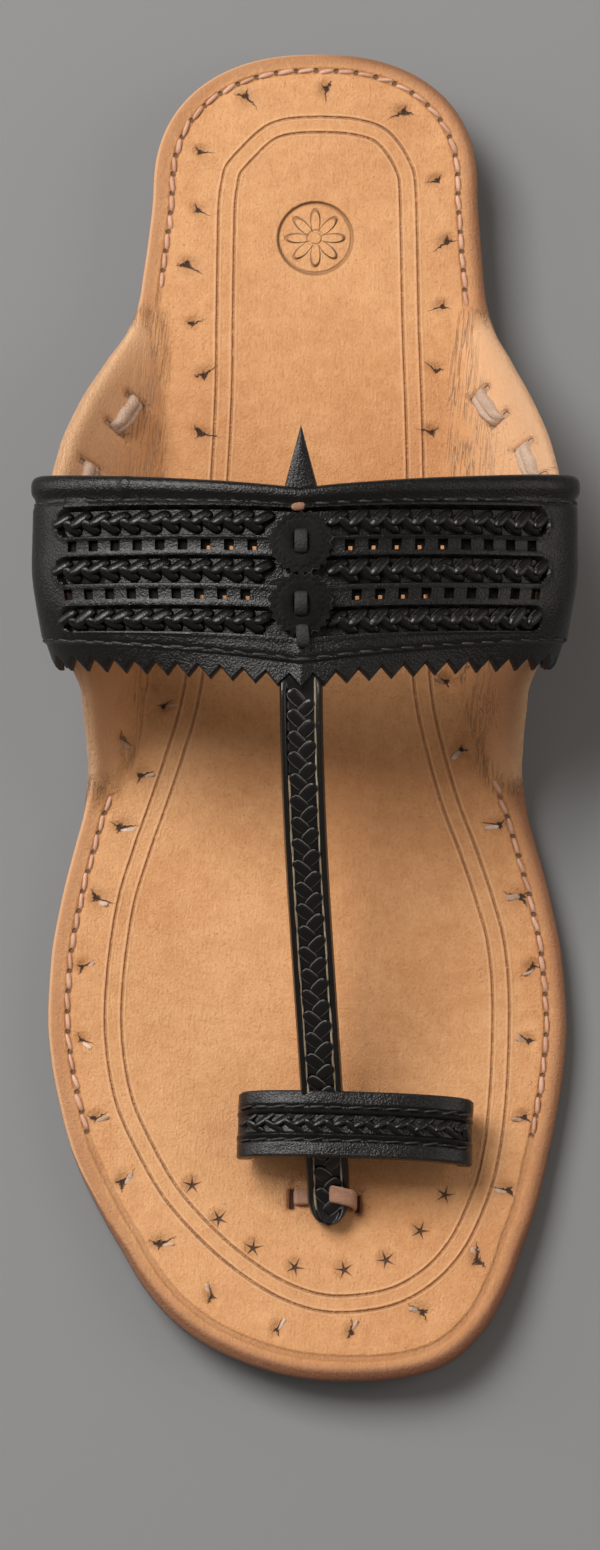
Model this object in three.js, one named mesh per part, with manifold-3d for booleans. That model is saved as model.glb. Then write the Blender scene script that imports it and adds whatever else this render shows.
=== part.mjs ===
// A flat leather sandal for the right foot. A natural leather footbed has two ears that stand up at
// the waist, a wide black band arches over the foot from ear to ear, a braided strap runs from the
// band to the toe, and a loop crosses that strap over the first two toes.
// Millimetres, +Z up. The toe points to -Y, the heel to +Y and the inner side of the foot to +X.
// The origin is on the ground under the middle of the sole.

import * as THREE from 'three';
import Module from 'manifold-3d';

const wasm = await Module();
wasm.setup();

// Sole
const LENGTH = 280;
const BALL_WIDTH = 106.6;
const HEEL_WIDTH = 68;
const WAIST_WIDTH = 67;
const OUTSOLE_WALL = 4;
const INSOLE_WALL = 3;
const HEEL_HEIGHT = 8;
const TOE_SPRING = 5;
const TOE_SWING = 9; // the toe tip lies this far towards the inner side
const FIT_GAP = 0.3; // between two pieces that lie on each other

// Ears of the footbed
const EAR_SPAN = 99;
const EAR_HEIGHT = 32;

// Instep band
const BAND_WALL = 2.1;
const BAND_WIDTH = 38;
const BAND_RISE = 50; // inside height over the footbed
const BAND_VEE = 9.6; // the middle of its front edge reaches this far forward of the ends
const BAND_VEE_REAR = 7.4; // and the middle of its rear edge this far
const BAND_MIDDLE = -0.9; // its middle lies this far towards the outer side
const BAND_FLARE = 0.9; // its front edge stands this far off the ears
const HEM_WIDTH = 3.2;
const HEM_RISE = 0.7;
const PINK_PITCH = 4.9; // zigzag front edge
const PINK_DEPTH = 2.4;
const HOLE_SIZE = 2;
const HOLE_PITCH = 4.75;

// Braids
const BRAID_WIDTH = 4.8;
const BRAID_PITCH = 4.1;
const BRAID_RISE = 1.1;
const BRAID_REACH = 50; // along the band, from its middle
const ROW_DRIFT = 3.2; // the rows end this much nearer the band's front edge

// Strap from the band to the toe
const STRAP_WIDTH = 8.6;
const STRAP_WALL = 2.2;
const STRAP_TAIL = 13; // its pointed end reaches this far behind the band
const STRAP_TAIL_WIDTH = 6.9; // where it leaves the band
const STRAP_TOE_SHIFT = 4.3; // its toe end lies this far towards the inner side
const STRAP_POINT = 6.5; // length of its rounded toe end

// Toe loop
const LOOP_SPAN = 47.8;
const LOOP_WIDTH = 13.4;
const LOOP_WALL = 2.4;
const LOOP_HEIGHT = 16.5; // over the footbed, outside
const LOOP_SHIFT = 9.2; // its middle lies this far towards the inner side
const LOOP_TURN = 2; // degrees, its inner end is nearer the toe
const LOOP_LEAN = 18; // degrees, its legs lean in towards each other

// Rosettes on the band
const ROSETTE_SIZE = 13;
const ROSETTE_WALL = 1.4;
const ROSETTE_TEETH = 18;
const TOOTH_DEPTH = 0.6;
const KNOT_WIDTH = 1.9;
const KNOT_LENGTH = 4.2;
const KNOT_RISE = 1.1;

// Laces
const LACE_WALL = 1.1;
const TOE_LACE_WIDTH = 3.8;
const EAR_LACE_WIDTH = 3.8;
const EAR_LACE_LENGTH = 9.5;

// Places along the sole, as shares of its length from the heel tip
const HEEL_ROUND_AT = 0.107;
const HEEL_BREAST_AT = 0.26;
const FOREFOOT_AT = 0.62;
const BALL_AT = 0.735;
const SPRING_AT = 0.8;
const BAND_AT = 0.427;
const TOE_ROUND_AT = 0.912;
const LOOP_AT = 0.821;
const TOE_LACE_AT = 0.867;
const STRAP_END_AT = 0.889;

// Half widths of the footbed's edge, each a share of half the width that it names
const INSOLE_EDGE = [
  { at: HEEL_ROUND_AT, of: HEEL_WIDTH, share: 1.005 },
  { at: 0.147, of: HEEL_WIDTH, share: 1.028 },
  { at: 0.179, of: HEEL_WIDTH, share: 1.055 },
  { at: 0.215, of: EAR_SPAN, share: 0.742 },
  { at: 0.252, of: EAR_SPAN, share: 0.81 },
  { at: 0.295, of: EAR_SPAN, share: 0.903 },
  { at: 0.334, of: EAR_SPAN, share: 0.969 },
  { at: 0.37, of: EAR_SPAN, share: 1.0 },
  { at: 0.42, of: EAR_SPAN, share: 1.0 },
  { at: 0.47, of: EAR_SPAN, share: 0.955 },
  { at: 0.511, of: EAR_SPAN, share: 0.878 },
  { at: 0.546, of: EAR_SPAN, share: 0.873 },
  { at: 0.587, of: BALL_WIDTH, share: 0.87 },
  { at: 0.646, of: BALL_WIDTH, share: 0.949 },
  { at: 0.69, of: BALL_WIDTH, share: 0.988 },
  { at: BALL_AT, of: BALL_WIDTH, share: 1.0 },
  { at: 0.765, of: BALL_WIDTH, share: 0.988 },
  { at: 0.794, of: BALL_WIDTH, share: 0.962 },
  { at: 0.824, of: BALL_WIDTH, share: 0.926 },
  { at: 0.853, of: BALL_WIDTH, share: 0.878 },
  { at: 0.882, of: BALL_WIDTH, share: 0.818 },
  { at: TOE_ROUND_AT, of: BALL_WIDTH, share: 0.744 },
  { at: 0.95, of: BALL_WIDTH, share: 0.67 },
  { at: 1, of: BALL_WIDTH, share: 0.62 },
];

// Half widths of the outsole, which stays narrow under the ears and follows the footbed elsewhere
const OUTSOLE_EDGE = [
  { at: HEEL_ROUND_AT, of: HEEL_WIDTH, share: 1.005 },
  { at: 0.16, of: HEEL_WIDTH, share: 1.015 },
  { at: 0.25, of: WAIST_WIDTH, share: 1.015 },
  { at: 0.34, of: WAIST_WIDTH, share: 1.0 },
  { at: 0.44, of: WAIST_WIDTH, share: 1.03 },
  { at: 0.5, of: WAIST_WIDTH, share: 1.13 },
  { at: 0.56, of: BALL_WIDTH, share: 0.81 },
  { at: 0.6, of: BALL_WIDTH, share: 0.885 },
  ...INSOLE_EDGE.filter((row) => row.at > 0.64),
];

// The sole's middle line, as shares of the toe's swing
const SPINE = [
  { at: 0, share: 0.22 },
  { at: 0.1, share: 0.2 },
  { at: 0.2, share: 0.12 },
  { at: 0.3, share: 0 },
  { at: 0.4, share: -0.02 },
  { at: 0.55, share: -0.05 },
  { at: 0.7, share: -0.02 },
  { at: 0.824, share: 0.06 },
  { at: 0.882, share: 0.25 },
  { at: 0.941, share: 0.47 },
  { at: 0.97, share: 0.68 },
  { at: 1, share: 1 },
];

// Height of the ears' edge, as shares of their full height
const EAR_RISE = [
  { at: 0.18, share: 0 },
  { at: 0.215, share: 0.13 },
  { at: 0.25, share: 0.36 },
  { at: 0.295, share: 0.66 },
  { at: 0.334, share: 0.88 },
  { at: 0.37, share: 1 },
  { at: 0.45, share: 1 },
  { at: 0.49, share: 0.86 },
  { at: 0.52, share: 0.54 },
  { at: 0.546, share: 0.25 },
  { at: 0.585, share: 0 },
];

// The strap's fall from the band to the loop, and from the loop to its toe end
const FALL_TO_LOOP = [
  { along: 0.18, fall: 0.12 },
  { along: 0.42, fall: 0.38 },
  { along: 0.72, fall: 0.72 },
];
const FALL_TO_TOE = [
  { along: 0.35, fall: 0.42 },
  { along: 0.66, fall: 0.86 },
  { along: 0.84, fall: 0.97 },
];

const BEND_SHARE = 0.84; // the footbed bends up at this share of the outsole's half width
const BEND_SOFTNESS = 0.25;
const HEEL_ROUNDNESS = 2.3;
const TOE_ROUNDNESS = 2.35;
const TIP_HALF = 4; // half width of the straight bit at each tip
const LOOP_ARCH_SHARE = 0.68;
const LOOP_KNEE = 0.45; // its legs are straight up to this share of its height
const LOOP_SQUARENESS = 0.8;
const LOOP_BRAID_SHARE = 0.64;
const ARCH_SHARE = 0.72; // part of the band's half that arches, the rest lies on the ear
const LEG_TOP = 1.01; // the band follows the ear's slope this far, 1 being the ear's edge
const LEG_END = 0.52; // and ends this far up the ear
const LEG_TAPER = 5; // each leg's end is this much narrower at either edge

const leather = (color, roughness) =>
  new THREE.MeshStandardMaterial({ color, roughness, metalness: 0, side: THREE.FrontSide });
const NATURAL = leather(0xd9a273, 0.55);
const SOLE_EDGE = leather(0x8a5a36, 0.6);
const BLACK = leather(0x1c1b1a, 0.5);
const LACE = leather(0xd2ab92, 0.7);

const { PI, abs, cos, hypot, max, min, sign, sin, tan } = Math;
const lerp = THREE.MathUtils.lerp;
const degrees = THREE.MathUtils.degToRad;
const vec = (x, y, z) => new THREE.Vector3(x, y, z);

/** Smooth curve through points [x, y] that never overshoots them, level at both ends. */
function curveThrough(points) {
  const step = points.slice(1).map((p, i) => (p[1] - points[i][1]) / (p[0] - points[i][0]));
  const slope = points.map((p, i) => {
    if (i === 0 || i === points.length - 1 || step[i - 1] * step[i] <= 0) return 0;
    return (2 * step[i - 1] * step[i]) / (step[i - 1] + step[i]);
  });
  return (x) => {
    const last = points.length - 2;
    let i = points.findIndex((p) => p[0] > x) - 1;
    if (x <= points[0][0]) return points[0][1];
    if (i < 0) i = last;
    if (x >= points[last + 1][0]) return points[last + 1][1];
    const wide = points[i + 1][0] - points[i][0];
    const t = (x - points[i][0]) / wide;
    const rest = 1 - t;
    return (
      points[i][1] * rest * rest * (1 + 2 * t) +
      points[i + 1][1] * t * t * (3 - 2 * t) +
      wide * t * rest * (slope[i] * rest - slope[i + 1] * t)
    );
  };
}

const halfWidths = (rows) => curveThrough(rows.map((row) => [row.at, (row.of / 2) * row.share]));
const insoleSides = halfWidths(INSOLE_EDGE);
const outsoleSides = halfWidths(OUTSOLE_EDGE);
const earRise = curveThrough(EAR_RISE.map((row) => [row.at, row.share * EAR_HEIGHT]));

const yAt = (at) => LENGTH * (0.5 - at);
const atY = (y) => 0.5 - y / LENGTH;

/** Share of the full half width near a rounded tip, as a superellipse. */
const tipRound = (share, roundness) => (1 - min(share, 1) ** roundness) ** (1 / roundness);

/** Half width at a station, with both tips rounded off. */
function halfWidth(at, sides) {
  let half = sides(at);
  if (at < HEEL_ROUND_AT) half *= tipRound(1 - at / HEEL_ROUND_AT, HEEL_ROUNDNESS);
  if (at > TOE_ROUND_AT) half *= tipRound((at - TOE_ROUND_AT) / (1 - TOE_ROUND_AT), TOE_ROUNDNESS);
  return max(half, TIP_HALF);
}

/** Sideways place of the sole's middle line. */
const spine = curveThrough(SPINE.map((row) => [row.at, row.share * TOE_SWING]));

/** Height of the outsole's underside: level over the heel, down to the forefoot, up at the toe. */
function underside(at) {
  const down = THREE.MathUtils.smoothstep(at, HEEL_BREAST_AT, FOREFOOT_AT);
  const spring = max(0, (at - SPRING_AT) / (1 - SPRING_AT)) ** 2;
  return HEEL_HEIGHT * (1 - down) + TOE_SPRING * spring;
}

const footbedTop = (at) => underside(at) + OUTSOLE_WALL + FIT_GAP + INSOLE_WALL;

/** How far the footbed's flange has risen at share q of its way out, 0 at the bend, 1 at the edge. */
function bendUp(q) {
  const full = hypot(1, BEND_SOFTNESS) - BEND_SOFTNESS;
  return (hypot(q, BEND_SOFTNESS) - BEND_SOFTNESS) / full;
}

/** A point of the footbed's flange: side -1 or 1, q as in bendUp, depth below its top face. */
function flangePoint(at, side, q, depth) {
  const bend = BEND_SHARE * halfWidth(at, outsoleSides);
  const reach = halfWidth(at, insoleSides) - bend;
  const rise = earRise(at);
  const slope = ((rise / (hypot(1, BEND_SOFTNESS) - BEND_SOFTNESS)) * q) / hypot(q, BEND_SOFTNESS);
  const long = hypot(reach, slope);
  return vec(
    spine(at) + side * (bend + reach * q + (slope / long) * depth),
    yAt(at),
    footbedTop(at) + rise * bendUp(q) - (reach / long) * depth,
  );
}

/** A point of the footbed, across from -1 to 1, of which the middle half is level. */
function insolePoint(at, across, depth) {
  const q = abs(across) * 2 - 1;
  if (q > 0) return flangePoint(at, sign(across), q, depth);
  const bend = BEND_SHARE * halfWidth(at, outsoleSides);
  return vec(spine(at) + bend * across * 2, yAt(at), footbedTop(at) - depth);
}

const evenly = (count, from = 0, to = 1) =>
  Array.from({ length: count + 1 }, (_, i) => lerp(from, to, i / count));
const closeAtTips = (count) => evenly(count).map((t) => (1 - cos(PI * t)) / 2);

/** Closed mesh between two grids: place(u, v, 0) is its lower face and place(u, v, 1) its upper. */
function slab(us, vs, place) {
  const points = [0, 1].flatMap((face) => us.flatMap((u) => vs.map((v) => place(u, v, face))));
  const at = (i, j, face) => (face * us.length + i) * vs.length + j;
  const triangles = [];
  const quad = (a, b, c, d) => triangles.push(a, b, c, a, c, d);
  for (let i = 0; i + 1 < us.length; i += 1) {
    for (let j = 0; j + 1 < vs.length; j += 1) {
      quad(at(i, j, 1), at(i + 1, j, 1), at(i + 1, j + 1, 1), at(i, j + 1, 1));
      quad(at(i, j, 0), at(i, j + 1, 0), at(i + 1, j + 1, 0), at(i + 1, j, 0));
    }
    const end = vs.length - 1;
    quad(at(i, 0, 0), at(i + 1, 0, 0), at(i + 1, 0, 1), at(i, 0, 1));
    quad(at(i + 1, end, 0), at(i, end, 0), at(i, end, 1), at(i + 1, end, 1));
  }
  for (let j = 0; j + 1 < vs.length; j += 1) {
    const end = us.length - 1;
    quad(at(0, j + 1, 0), at(0, j, 0), at(0, j, 1), at(0, j + 1, 1));
    quad(at(end, j, 0), at(end, j + 1, 0), at(end, j + 1, 1), at(end, j, 1));
  }
  return facingOut(points, triangles);
}

/** The same triangles, turned so that they enclose a positive volume. */
function facingOut(points, triangles) {
  let volume = 0;
  for (let i = 0; i < triangles.length; i += 3) {
    const [a, b, c] = [0, 1, 2].map((k) => points[triangles[i + k]]);
    volume += a.dot(b.clone().cross(c));
  }
  const turned = volume < 0 ? triangles.slice().reverse() : triangles;
  return { points, triangles: turned };
}

const toSolid = ({ points, triangles }) =>
  new wasm.Manifold(
    new wasm.Mesh({
      numProp: 3,
      vertProperties: new Float32Array(points.flatMap((p) => [p.x, p.y, p.z])),
      triVerts: new Uint32Array(triangles),
    }),
  );

/** Geometry of a finished solid. */
function toGeometry(solid) {
  const mesh = solid.getMesh();
  const geometry = new THREE.BufferGeometry();
  geometry.setAttribute('position', new THREE.BufferAttribute(mesh.vertProperties, 3));
  geometry.setIndex(new THREE.BufferAttribute(mesh.triVerts, 1));
  geometry.computeVertexNormals();
  return geometry;
}

/** Box whose sides follow a frame { origin, along, across, out }. */
function framedPrism(frame, outline, low, high) {
  const place = (x, y, z) =>
    frame.origin
      .clone()
      .addScaledVector(frame.along, x)
      .addScaledVector(frame.across, y)
      .addScaledVector(frame.out, z);
  const count = outline.length;
  const points = [low, high].flatMap((z) => outline.map(([x, y]) => place(x, y, z)));
  const triangles = [];
  for (let i = 0; i < count; i += 1) {
    const next = (i + 1) % count;
    triangles.push(i, next, count + next, i, count + next, count + i);
    if (i > 1) triangles.push(0, i, i - 1, count, count + i - 1, count + i);
  }
  return toSolid(facingOut(points, triangles));
}

/** One strand of a braid where it shows: a low leaf with four faces above and four below. */
function leaf(frame, middle, length, width, rise, turn) {
  const ahead = [cos(turn), sin(turn)];
  const place = (x, y, z) =>
    frame.origin
      .clone()
      .addScaledVector(frame.along, middle[0] + x * ahead[0] - y * ahead[1])
      .addScaledVector(frame.across, middle[1] + x * ahead[1] + y * ahead[0])
      .addScaledVector(frame.out, z);
  const points = [
    place(length / 2, 0, 0),
    place(0, width / 2, 0),
    place(-length / 2, 0, 0),
    place(0, -width / 2, 0),
    place(0, 0, rise),
    place(0, 0, -rise),
  ];
  const triangles = [0, 1, 4, 1, 2, 4, 2, 3, 4, 3, 0, 4, 1, 0, 5, 2, 1, 5, 3, 2, 5, 0, 3, 5];
  return toSolid(facingOut(points, triangles));
}

/** The two leaves of a braid's one pitch, which point back (1) or ahead (-1) along the frame. */
function braidStep(frame, facing) {
  const slant = degrees(32) * facing;
  const aside = BRAID_WIDTH * 0.23;
  return [-1, 1].map((side) =>
    leaf(
      frame,
      [(side * BRAID_PITCH) / 4, side * aside],
      BRAID_PITCH * 1.45,
      BRAID_WIDTH * 0.5,
      BRAID_RISE,
      -side * slant,
    ),
  );
}

// Instep band

const bandEndRear = yAt(BAND_AT) + BAND_WIDTH / 2;

/** The band's inner face in the section through its ends: a from 0 at its middle to 1 at its end. */
function bandInner(side, a, v) {
  const taper = LEG_TAPER * max(0, (a - ARCH_SHARE) / (1 - ARCH_SHARE));
  const endY = bandEndRear - v * BAND_WIDTH + taper * (2 * v - 1);
  const at = atY(endY);
  const wall = INSOLE_WALL + FIT_GAP;
  const flare = vec(side * BAND_FLARE * v * v, 0, 0);
  if (a >= ARCH_SHARE) {
    const q = lerp(LEG_TOP, LEG_END, (a - ARCH_SHARE) / (1 - ARCH_SHARE));
    return flangePoint(at, side, q, wall).add(flare);
  }
  const top = vec(BAND_MIDDLE, endY, footbedTop(atY(endY - BAND_VEE)) + BAND_RISE);
  const shoulder = flangePoint(at, side, LEG_TOP, wall).add(flare);
  const down = flangePoint(at, side, LEG_TOP - 0.02, wall).add(flare).sub(shoulder).normalize();
  const chord = top.distanceTo(shoulder);
  const level = vec(side, 0, 0).multiplyScalar(chord * 1.25);
  down.multiplyScalar(chord * 0.48);
  const w = a / ARCH_SHARE;
  const rest = 1 - w;
  return top
    .multiplyScalar(rest * rest * (1 + 2 * w))
    .addScaledVector(shoulder, w * w * (3 - 2 * w))
    .addScaledVector(level, w * rest * rest)
    .addScaledVector(down, -w * w * rest);
}

/** A point of the band: u from -1 to 1 from its outer to its inner end, v from rear to front. */
function bandPoint(u, v, height) {
  const side = u < 0 ? -1 : 1;
  const a = abs(u);
  const step = 0.002;
  const point = bandInner(side, a, v);
  const before = bandInner(side, max(a - step, 0), v);
  const after = bandInner(side, min(a + step, 1), v);
  const run = after.sub(before);
  const long = hypot(run.x, run.z);
  if (a > step) {
    point.x -= ((run.z * side) / long) * height;
    point.z += ((run.x * side) / long) * height;
  } else {
    point.z += height;
  }
  point.y -= lerp(BAND_VEE_REAR, BAND_VEE, v) * max(0, 1 - a / ARCH_SHARE) ** 1.2;
  return point;
}

/** The u at which the band's middle line has run this far from the middle. */
function bandAlong(distance) {
  if (distance === 0) return 0;
  const steps = evenly(60);
  let run = 0;
  for (let i = 1; i < steps.length; i += 1) {
    const here = bandPoint(sign(distance) * steps[i], 0.5, BAND_WALL);
    const stride = here.distanceTo(bandPoint(sign(distance) * steps[i - 1], 0.5, BAND_WALL));
    if (run + stride >= abs(distance)) {
      return sign(distance) * lerp(steps[i - 1], steps[i], (abs(distance) - run) / stride);
    }
    run += stride;
  }
  return sign(distance);
}

/** Frame on the band's outer face: along its length, across it towards the toe, and out. */
function bandFrame(distance, v) {
  const u = bandAlong(distance);
  const origin = bandPoint(u, v, BAND_WALL);
  const along = bandPoint(u + 0.01, v, BAND_WALL).sub(bandPoint(u - 0.01, v, BAND_WALL));
  const front = bandPoint(u, min(v + 0.05, 1), BAND_WALL);
  const forward = front.sub(bandPoint(u, max(v - 0.05, 0), BAND_WALL));
  along.normalize();
  const out = forward.cross(along).normalize();
  if (out.z < 0 && abs(u) < ARCH_SHARE) out.negate();
  return { origin, along, across: out.clone().cross(along).negate(), out };
}

const BRAID_ROWS = [0.18, 0.425, 0.68];
const HOLE_ROWS = [0.3, 0.55];
const ROSETTE_ROWS = [0.28, 0.58];

/** The instep band with its hem, braids, punched holes and zigzag front edge. */
function makeBand() {
  const reach = [...evenly(3, 1, ARCH_SHARE), ...evenly(11, ARCH_SHARE, 0).slice(1)];
  const us = [...reach.map((a) => -a), ...reach.slice(0, -1).reverse()];
  const hem = HEM_WIDTH / BAND_WIDTH;
  const vs = [0, hem, hem * 1.15, 0.4, 0.7, 1];
  const outside = (v) => BAND_WALL + (v <= hem ? HEM_RISE : 0);
  let band = toSolid(slab(us, vs, (u, v, face) => bandPoint(u, v, face * outside(v))));
  const start = ROSETTE_SIZE / 2 + BRAID_PITCH * 0.75;
  const drifted = (row, d) => row + ((ROW_DRIFT / BAND_WIDTH) * d) / BRAID_REACH;
  for (const row of BRAID_ROWS) {
    for (let d = start; d < BRAID_REACH; d += BRAID_PITCH) {
      for (const side of [-1, 1]) {
        const frame = bandFrame(side * d, drifted(row, d));
        for (const strand of braidStep(frame, -side)) band = band.add(strand);
      }
    }
  }
  const half = HOLE_SIZE / 2;
  const square = [[-half, -half], [half, -half], [half, half], [-half, half]];
  for (const [i, row] of HOLE_ROWS.entries()) {
    const first = ROSETTE_SIZE / 2 + HOLE_PITCH * (0.7 + i * 0.3);
    for (let d = first; d < BRAID_REACH; d += HOLE_PITCH) {
      for (const side of [-1, 1]) {
        const frame = bandFrame(side * d, drifted(row, d));
        band = band.subtract(framedPrism(frame, square, -2 * BAND_WALL, BAND_WALL));
      }
    }
  }
  const clear = BAND_WIDTH * 0.08; // the notches open this far past the edge
  const open = (PINK_PITCH / 2) * (1 + clear / PINK_DEPTH);
  const notch = [[-open, clear], [0, -PINK_DEPTH], [open, clear]];
  for (let d = PINK_PITCH / 2; d < BRAID_REACH + 2 * PINK_PITCH; d += PINK_PITCH) {
    for (const side of [-1, 1]) {
      const frame = bandFrame(side * d, 1);
      band = band.subtract(framedPrism(frame, notch, -2 * BAND_WALL, BAND_WALL));
    }
  }
  return band;
}

// Toe loop

const loopY = yAt(LOOP_AT);
const loopFloor = footbedTop(LOOP_AT);

/** The loop's outer face in its own section, from its middle (0) to the end of a leg (1). */
function loopHalf(share) {
  const half = LOOP_SPAN / 2;
  const knee = LOOP_HEIGHT * LOOP_KNEE;
  if (share > LOOP_ARCH_SHARE) {
    const down = ((share - LOOP_ARCH_SHARE) / (1 - LOOP_ARCH_SHARE)) * (knee + INSOLE_WALL);
    return vec(half - down * tan(degrees(LOOP_LEAN)), 0, knee - down);
  }
  const angle = (share / LOOP_ARCH_SHARE) * (PI / 2);
  const x = half * sin(angle) ** LOOP_SQUARENESS;
  return vec(x, 0, knee + (LOOP_HEIGHT - knee) * cos(angle) ** LOOP_SQUARENESS);
}

/** The same with its shares evenly spaced along the leather, -1 to 1 from outer to inner leg. */
const loopOutline = (() => {
  const shares = evenly(200);
  const runs = [0];
  for (let i = 1; i < shares.length; i += 1) {
    runs.push(runs[i - 1] + loopHalf(shares[i]).distanceTo(loopHalf(shares[i - 1])));
  }
  const full = runs[200];
  return (share) => {
    const target = min(abs(share), 1) * full;
    const i = max(1, runs.findIndex((run) => run >= target));
    const here = (target - runs[i - 1]) / (runs[i] - runs[i - 1]);
    const point = loopHalf(lerp(shares[i - 1], shares[i], here));
    point.x *= share < 0 ? -1 : 1;
    return point;
  };
})();

/** A point of the loop: share as in loopOutline, forward from -1 to 1, depth under its face. */
function loopPoint(share, forward, depth) {
  const step = 0.004;
  const point = loopOutline(share);
  const run = loopOutline(min(share + step, 1)).sub(loopOutline(max(share - step, -1)));
  const long = hypot(run.x, run.z);
  point.x += (run.z / long) * depth;
  point.z -= (run.x / long) * depth;
  const turn = -degrees(LOOP_TURN);
  const y = (-forward * LOOP_WIDTH) / 2;
  return vec(
    spine(LOOP_AT) + LOOP_SHIFT + point.x * cos(turn) - y * sin(turn),
    loopY + point.x * sin(turn) + y * cos(turn),
    loopFloor + point.z,
  );
}

function makeLoop() {
  const reach = [1, 0.84, 0.75, 0.69, 0.63, 0.56, 0.48, 0.36, 0.2, 0];
  const shares = [...reach.map((s) => -s), ...reach.slice(0, -1).reverse()];
  let loop = toSolid(slab(shares, [-1, 1], (s, f, face) => loopPoint(s, f, (1 - face) * LOOP_WALL)));
  const steps = Math.round(LOOP_SPAN / BRAID_PITCH);
  for (const s of evenly(steps, -LOOP_BRAID_SHARE, LOOP_BRAID_SHARE)) {
    const origin = loopPoint(s, 0, 0);
    const along = loopPoint(s + 0.01, 0, 0).sub(loopPoint(s - 0.01, 0, 0)).normalize();
    const across = loopPoint(s, 1, 0).sub(loopPoint(s, -1, 0)).normalize();
    const out = across.clone().cross(along).normalize();
    if (out.dot(loopPoint(s, 0, 1).sub(origin)) > 0) out.negate();
    for (const strand of braidStep({ origin, along, across, out }, 1)) loop = loop.add(strand);
  }
  return loop;
}

// Strap from the band to the toe

const laceY = yAt(TOE_LACE_AT);
const bandFrontY = bandPoint(0, 1, 0).y;
const bandRearY = bandPoint(0, 0, 0).y;
const strapX = curveThrough([
  [-bandFrontY, BAND_MIDDLE],
  [-loopY, STRAP_TOE_SHIFT - 0.9],
  [-yAt(TOE_LACE_AT), STRAP_TOE_SHIFT],
]);
const JOIN = 0.35; // pieces of the upper run this far into each other where they cross

/** Height of the strap's top face: it follows the band's inside, then falls to the loop and toe. */
const strapTop = (() => {
  const bandEnd = bandPoint(0, 1, 0).z + JOIN;
  const bandStart = bandPoint(0, 0, 0).z + JOIN;
  const underLoop = loopFloor + LOOP_HEIGHT - LOOP_WALL + JOIN;
  const endY = yAt(STRAP_END_AT);
  const atToe = footbedTop(STRAP_END_AT) + LACE_WALL + 2 * FIT_GAP + STRAP_WALL;
  const fall = (rows, y0, z0, y1, z1) =>
    rows.map(({ along, fall: down }) => [-lerp(y0, y1, along), lerp(z0, z1, down)]);
  return curveThrough([
    [-bandRearY - STRAP_TAIL, bandStart + 1.2],
    [-bandRearY, bandStart],
    [-bandFrontY, bandEnd],
    ...fall(FALL_TO_LOOP, bandFrontY, bandEnd, loopY, underLoop),
    [-loopY, underLoop],
    ...fall(FALL_TO_TOE, loopY, underLoop, endY, atToe),
    [-endY, atToe],
  ]);
})();

/** A point of the strap at a place along the shoe, across -1 to 1, depth under its top face. */
function strapPoint(y, across, depth) {
  const tail = min(1, max(0, bandRearY + STRAP_TAIL - y) / STRAP_TAIL);
  const toe = min(1, max(0, y - yAt(STRAP_END_AT)) / STRAP_POINT);
  const narrow = THREE.MathUtils.smoothstep(y, bandFrontY, bandRearY);
  const full = lerp(STRAP_WIDTH, STRAP_TAIL_WIDTH, narrow) / 2;
  const half = full * max(tail, 0.04) * max((1 - (1 - toe) ** 2) ** 0.5, 0.25);
  const slope = (strapTop(-y + 0.5) - strapTop(-y - 0.5)) / 1;
  const long = hypot(1, slope);
  return vec(
    strapX(-y) + across * half,
    y + (slope / long) * depth * -1,
    strapTop(-y) - depth / long,
  );
}

function makeStrap() {
  const rear = bandRearY + STRAP_TAIL;
  const end = yAt(STRAP_END_AT);
  const places = [
    ...evenly(1, rear, bandRearY),
    ...evenly(2, bandRearY, bandFrontY).slice(1),
    ...evenly(9, bandFrontY, loopY).slice(1),
    ...evenly(3, loopY, end + STRAP_POINT).slice(1),
    ...[0.66, 0.4, 0.2, 0.07, 0].map((share) => end + STRAP_POINT * share),
  ];
  let strap = toSolid(slab(places, [-1, 1], (y, c, face) => strapPoint(y, c, (1 - face) * STRAP_WALL)));
  const braid = (from, to) => {
    for (let y = from; y > to; y -= BRAID_PITCH) {
      const origin = strapPoint(y, 0, 0);
      const along = strapPoint(y - 0.5, 0, 0).sub(strapPoint(y + 0.5, 0, 0)).normalize();
      const across = vec(1, 0, 0);
      const out = across.clone().cross(along).normalize();
      if (out.z < 0) out.negate();
      for (const strand of braidStep({ origin, along, across, out }, -1)) strap = strap.add(strand);
    }
  };
  braid(bandFrontY - BRAID_PITCH / 2, loopY + LOOP_WIDTH / 2);
  braid(loopY - LOOP_WIDTH / 2 - BRAID_PITCH / 2, laceY + TOE_LACE_WIDTH / 2 + BRAID_PITCH);
  return strap;
}

// Toe lace: out of a slit, under half of the strap, up through it, over the rest and down again

const laceFloor = footbedTop(TOE_LACE_AT);
const laceMiddle = strapX(-laceY) + STRAP_WIDTH * 0.08;
const laceLeft = strapX(-laceY) - STRAP_WIDTH * 0.82;
const laceRight = strapX(-laceY) + STRAP_WIDTH * 0.78;

/** Middle line of the toe lace in the section across the shoe at y. It lies on the strap's slope. */
function toeLacePath(y) {
  const low = footbedTop(atY(y)) + FIT_GAP + LACE_WALL / 2;
  const high = strapTop(-y) + FIT_GAP * 1.5 + LACE_WALL / 2;
  const down = laceFloor - INSOLE_WALL / 2;
  return [
    [laceLeft, down],
    [laceLeft, low - 0.2],
    [laceLeft + 0.8, low + 0.2],
    [laceMiddle - 0.8, low],
    [laceMiddle, low + 0.7],
    [laceMiddle, high - 0.6],
    [laceMiddle + 0.9, high],
    [laceRight - 1.6, high - 0.1],
    [laceRight, high - 1.6],
    [laceRight, down],
  ];
}

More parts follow.
